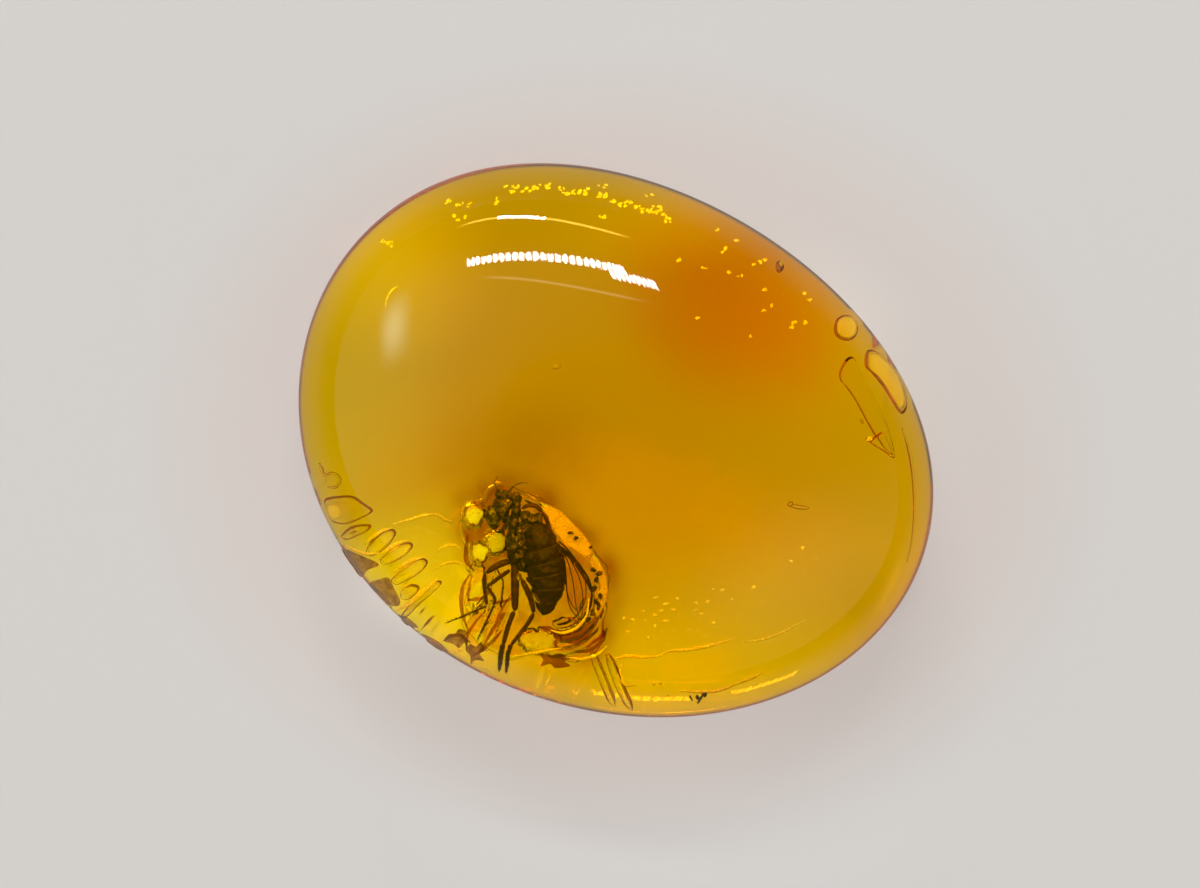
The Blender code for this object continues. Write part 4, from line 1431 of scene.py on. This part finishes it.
def build_room():
    """A dim room with a few broad glows, darkest overhead."""
    world = bpy.data.worlds.new("soft_room")
    world.use_nodes = True
    tree = world.node_tree
    backdrop = tree.nodes["Background"]
    look = wire(tree, "ShaderNodeTexCoord", out="Generated")
    total = ROOM_BASE
    for direction, sharpness, brightness in ROOM_GLOWS:
        aim = in_picture(*direction)
        aim = tuple(aim / np.linalg.norm(aim))
        facing = wire(tree, "ShaderNodeVectorMath", look, aim, out="Value", operation="DOT_PRODUCT")
        facing = sums(tree, "MAXIMUM", facing, 0.0)
        glow = sums(tree, "POWER", facing, sharpness)
        total = sums(tree, "MULTIPLY_ADD", glow, brightness, total)
    height = wire(tree, "ShaderNodeSeparateXYZ", look, out="Z")
    low = sums(tree, "SUBTRACT", 1.0, height)
    low = sums(tree, "POWER", low, WALL_SHARPNESS)
    total = sums(tree, "MULTIPLY_ADD", low, WALL_GLOW, total)
    inner, outer = (float(np.cos(angle)) for angle in DARK_OVERHEAD)
    open_room = faded(tree, height, inner, outer, DARK_SHARE)
    total = sums(tree, "MULTIPLY", total, open_room)
    tree.links.new(total, backdrop.inputs["Strength"])
    backdrop.inputs["Color"].default_value = ROOM_COLOUR
    bpy.context.scene.world = world


RIBBON_STEPS = 60
# A beaded lamp: how ragged and how scalloped its long edges are, how far they're drawn in, and how
# ragged, wide and dark the gaps between its beads are.
EDGE_RAGGED, EDGE_SCALLOP, EDGE_INSET = 1.2, 0.30, 0.10
GAP_RAGGED, GAP_WIDTH, GAP_SHARE = 0.8, 0.20, 0.06
RAG_SCALE = (3.0, 1.6)  # ragged patches to a bead, and across the strip


def ribbon_mesh(name, path, width):
    """A strip through places (right, up, height) that faces the stone, with its UVs along and across."""
    places = np.array([in_picture(*place) for place in path])
    steps = np.linspace(0.0, 1.0, RIBBON_STEPS)
    knots = np.linspace(0.0, 1.0, len(places))
    fit = np.polynomial.polynomial.polyfit(knots, places, min(3, len(places) - 1))
    middle = np.polynomial.polynomial.polyval(steps, fit).T
    along = np.gradient(middle, axis=0)
    across = np.cross(along, -middle)
    across *= width / 2 / np.linalg.norm(across, axis=1, keepdims=True)
    points = np.concatenate([middle - across, middle + across])
    first = range(RIBBON_STEPS - 1)
    ribbon = mesh_object(name, points, [(i, i + 1, RIBBON_STEPS + i + 1, RIBBON_STEPS + i) for i in first])
    coords = ribbon.data.uv_layers.new(name="UVMap")
    for corner in ribbon.data.loops:
        side, step = divmod(corner.vertex_index, RIBBON_STEPS)
        coords.data[corner.index].uv = (steps[step], side)
    return ribbon


def from_middle(tree, socket):
    """How far along a strip from its middle: 0 there, and 0.5 at both ends."""
    way = sums(tree, "PINGPONG", socket, 1.0)
    way = sums(tree, "SUBTRACT", way, 0.5)
    return sums(tree, "ABSOLUTE", way)


def lamp_ribbon(name, path, width, colour, strength, soft_ends, soft_sides, beads):
    """A glowing strip with soft edges, which the stone mirrors and the camera doesn't see."""
    ribbon = ribbon_mesh(name, path, width)
    material = bpy.data.materials.new(name)
    material.use_nodes = True
    tree = material.node_tree
    tree.nodes.clear()
    spread = wire(tree, "ShaderNodeUVMap", uv_map="UVMap")
    step = wire(tree, "ShaderNodeSeparateXYZ", spread, out="X")
    side = wire(tree, "ShaderNodeSeparateXYZ", spread, out="Y")
    ends, sides = from_middle(tree, step), from_middle(tree, side)
    if beads:
        bead = sums(tree, "MULTIPLY", step, float(beads))
        bead = sums(tree, "PINGPONG", bead, 0.5)
        scale = (RAG_SCALE[0] * beads, RAG_SCALE[1], 1.0)
        patch = wire(tree, "ShaderNodeVectorMath", spread, scale, operation="MULTIPLY")
        ragged = wire(tree, "ShaderNodeTexNoise", patch, None, 1.0, 2.0)
        ragged = sums(tree, "SUBTRACT", ragged, 0.5)
        sides = sums(tree, "MULTIPLY_ADD", ragged, EDGE_RAGGED, sides)
        sides = sums(tree, "MULTIPLY_ADD", bead, -EDGE_SCALLOP, sides)
        sides = sums(tree, "ADD", sides, EDGE_INSET)
    fades = [(ends, 0.5 - soft_ends, 0.5, 1.0, 0.0), (sides, 0.5 - soft_sides, 0.5, 1.0, 0.0)]
    if beads:
        gap = sums(tree, "MULTIPLY_ADD", ragged, GAP_RAGGED, bead)
        fades.append((gap, 0.0, GAP_WIDTH, GAP_SHARE, 1.0))
    glow = strength
    for fade in fades:
        glow = sums(tree, "MULTIPLY", faded(tree, *fade), glow)
    shine = wire(tree, "ShaderNodeEmission", (*colour, 1.0), glow)
    both = wire(tree, "ShaderNodeAddShader", shine, wire(tree, "ShaderNodeBsdfTransparent"))
    end = tree.nodes.new("ShaderNodeOutputMaterial")
    tree.links.new(both, end.inputs["Surface"])
    ribbon.data.materials.append(material)
    ribbon.visible_camera = False
    ribbon.visible_shadow = False


# Each lamp: its name, its path, width, colour and strength, how soft its ends and sides are, and how
# many beads it has.
LAMPS = (
    ("desk_lamp",
     ((-0.193, 0.335, 0.272), (-0.128, 0.340, 0.283), (-0.064, 0.340, 0.280), (0.002, 0.340, 0.288),
      (0.054, 0.340, 0.294), (0.083, 0.340, 0.290)),
     0.036, (1.0, 0.97, 0.93), 34.0, 0.02, 0.20, 27),
    ("desk_lamp_end",
     ((0.060, 0.340, 0.326), (0.097, 0.340, 0.322), (0.130, 0.340, 0.318)),
     0.036, (1.0, 0.97, 0.93), 34.0, 0.02, 0.20, 10),
    ("warm_shelf_light",
     ((-0.172, 0.340, 0.084), (-0.089, 0.340, 0.085), (-0.018, 0.340, 0.105), (0.039, 0.340, 0.120),
      (0.093, 0.340, 0.127)),
     0.015, (1.0, 0.70, 0.10), 13.0, 0.15, 0.40, 0),
    ("shelf_light",
     ((-0.086, 0.330, 0.083), (-0.053, 0.330, 0.090), (-0.016, 0.330, 0.101)),
     0.019, (1.0, 0.98, 0.95), 50.0, 0.05, 0.30, 9),
    ("lamp_shade_edge",
     ((-0.199, 0.340, 0.366), (-0.085, 0.340, 0.407), (0.025, 0.340, 0.435), (0.133, 0.340, 0.423)),
     0.016, (1.0, 0.80, 0.45), 3.0, 0.20, 0.50, 0),
    ("window",
     ((-0.366, 0.285, 0.180), (-0.372, 0.192, 0.268), (-0.372, 0.100, 0.330)),
     0.15, (0.72, 1.0, 0.85), 3.6, 0.50, 0.50, 0),
)
build_room()
for lamp in LAMPS:
    lamp_ribbon(*lamp)

# A soft lamp close over the dome, for what is sealed in the stone: only the sealed pieces take its
# light and only they cast its shadows.
LAMP_LIGHT_PLACE = (-0.5 * MM, 2.5 * MM, 9.0 * MM)
LAMP_LIGHT_AIM = (0.0, -0.5 * MM, 1.5 * MM)
LAMP_LIGHT_SIZE = 12.0 * MM
LAMP_LIGHT_POWER = 0.0028
LAMP_LIGHT_COLOUR = (0.70, 1.0, 0.80)
lit_pieces = (
    abdomen, thorax, head, eyes, *legs, wing_veins, crumbs, gold_flecks_and_highlights, film_painted_light, flute_painted_light,
)
sealed = bpy.data.collections.new("sealed_in_resin")
for piece in lit_pieces:
    sealed.objects.link(piece)
lamp_data = bpy.data.lights.new("lamp_light", "AREA")
lamp_data.size = LAMP_LIGHT_SIZE
lamp_data.energy = LAMP_LIGHT_POWER
lamp_data.color = LAMP_LIGHT_COLOUR
lamp_light = bpy.data.objects.new("lamp_light", lamp_data)
bpy.context.scene.collection.objects.link(lamp_light)
lamp_light.location = in_picture(*LAMP_LIGHT_PLACE)
lamp_way = Vector(in_picture(*LAMP_LIGHT_AIM) - in_picture(*LAMP_LIGHT_PLACE))
lamp_light.rotation_euler = lamp_way.to_track_quat("-Z", "Y").to_euler()
lamp_light.visible_camera = False
lamp_light.light_linking.receiver_collection = sealed
lamp_light.light_linking.blocker_collection = sealed

SENSOR_WIDTH = 36.0
CAMERA_SEES_FROM, CAMERA_SEES_TO = 0.01, 20.0
camera_data = bpy.data.cameras.new("camera")
camera = bpy.data.objects.new("camera", camera_data)
bpy.context.scene.collection.objects.link(camera)
field = PICTURE[0] / PIXELS_PER_M
camera_data.sensor_width = SENSOR_WIDTH
camera_data.lens = SENSOR_WIDTH * CAMERA_DISTANCE / field
camera_data.clip_start = CAMERA_SEES_FROM
camera_data.clip_end = CAMERA_SEES_TO
camera.location = camera_place
camera.rotation_euler = Euler((0, 0, STONE_TILT))
bpy.context.scene.camera = camera

# The picture's darkest tones lose their blue, and a mirrored lamp keeps its sharp edges.
BLACK_LEVEL = (0.0, 0.0, 0.014)
MOST_BOUNCES, MIRROR_BOUNCES, CLEAR_BOUNCES = 16, 12, 16
tones = bpy.context.scene.view_settings
tones.view_transform = "Standard"
tones.use_curve_mapping = True
tones.curve_mapping.black_level = BLACK_LEVEL
tones.curve_mapping.update()
light_paths = bpy.context.scene.cycles
light_paths.blur_glossy = 0.0
light_paths.max_bounces = MOST_BOUNCES
light_paths.glossy_bounces = MIRROR_BOUNCES
light_paths.transmission_bounces = CLEAR_BOUNCES
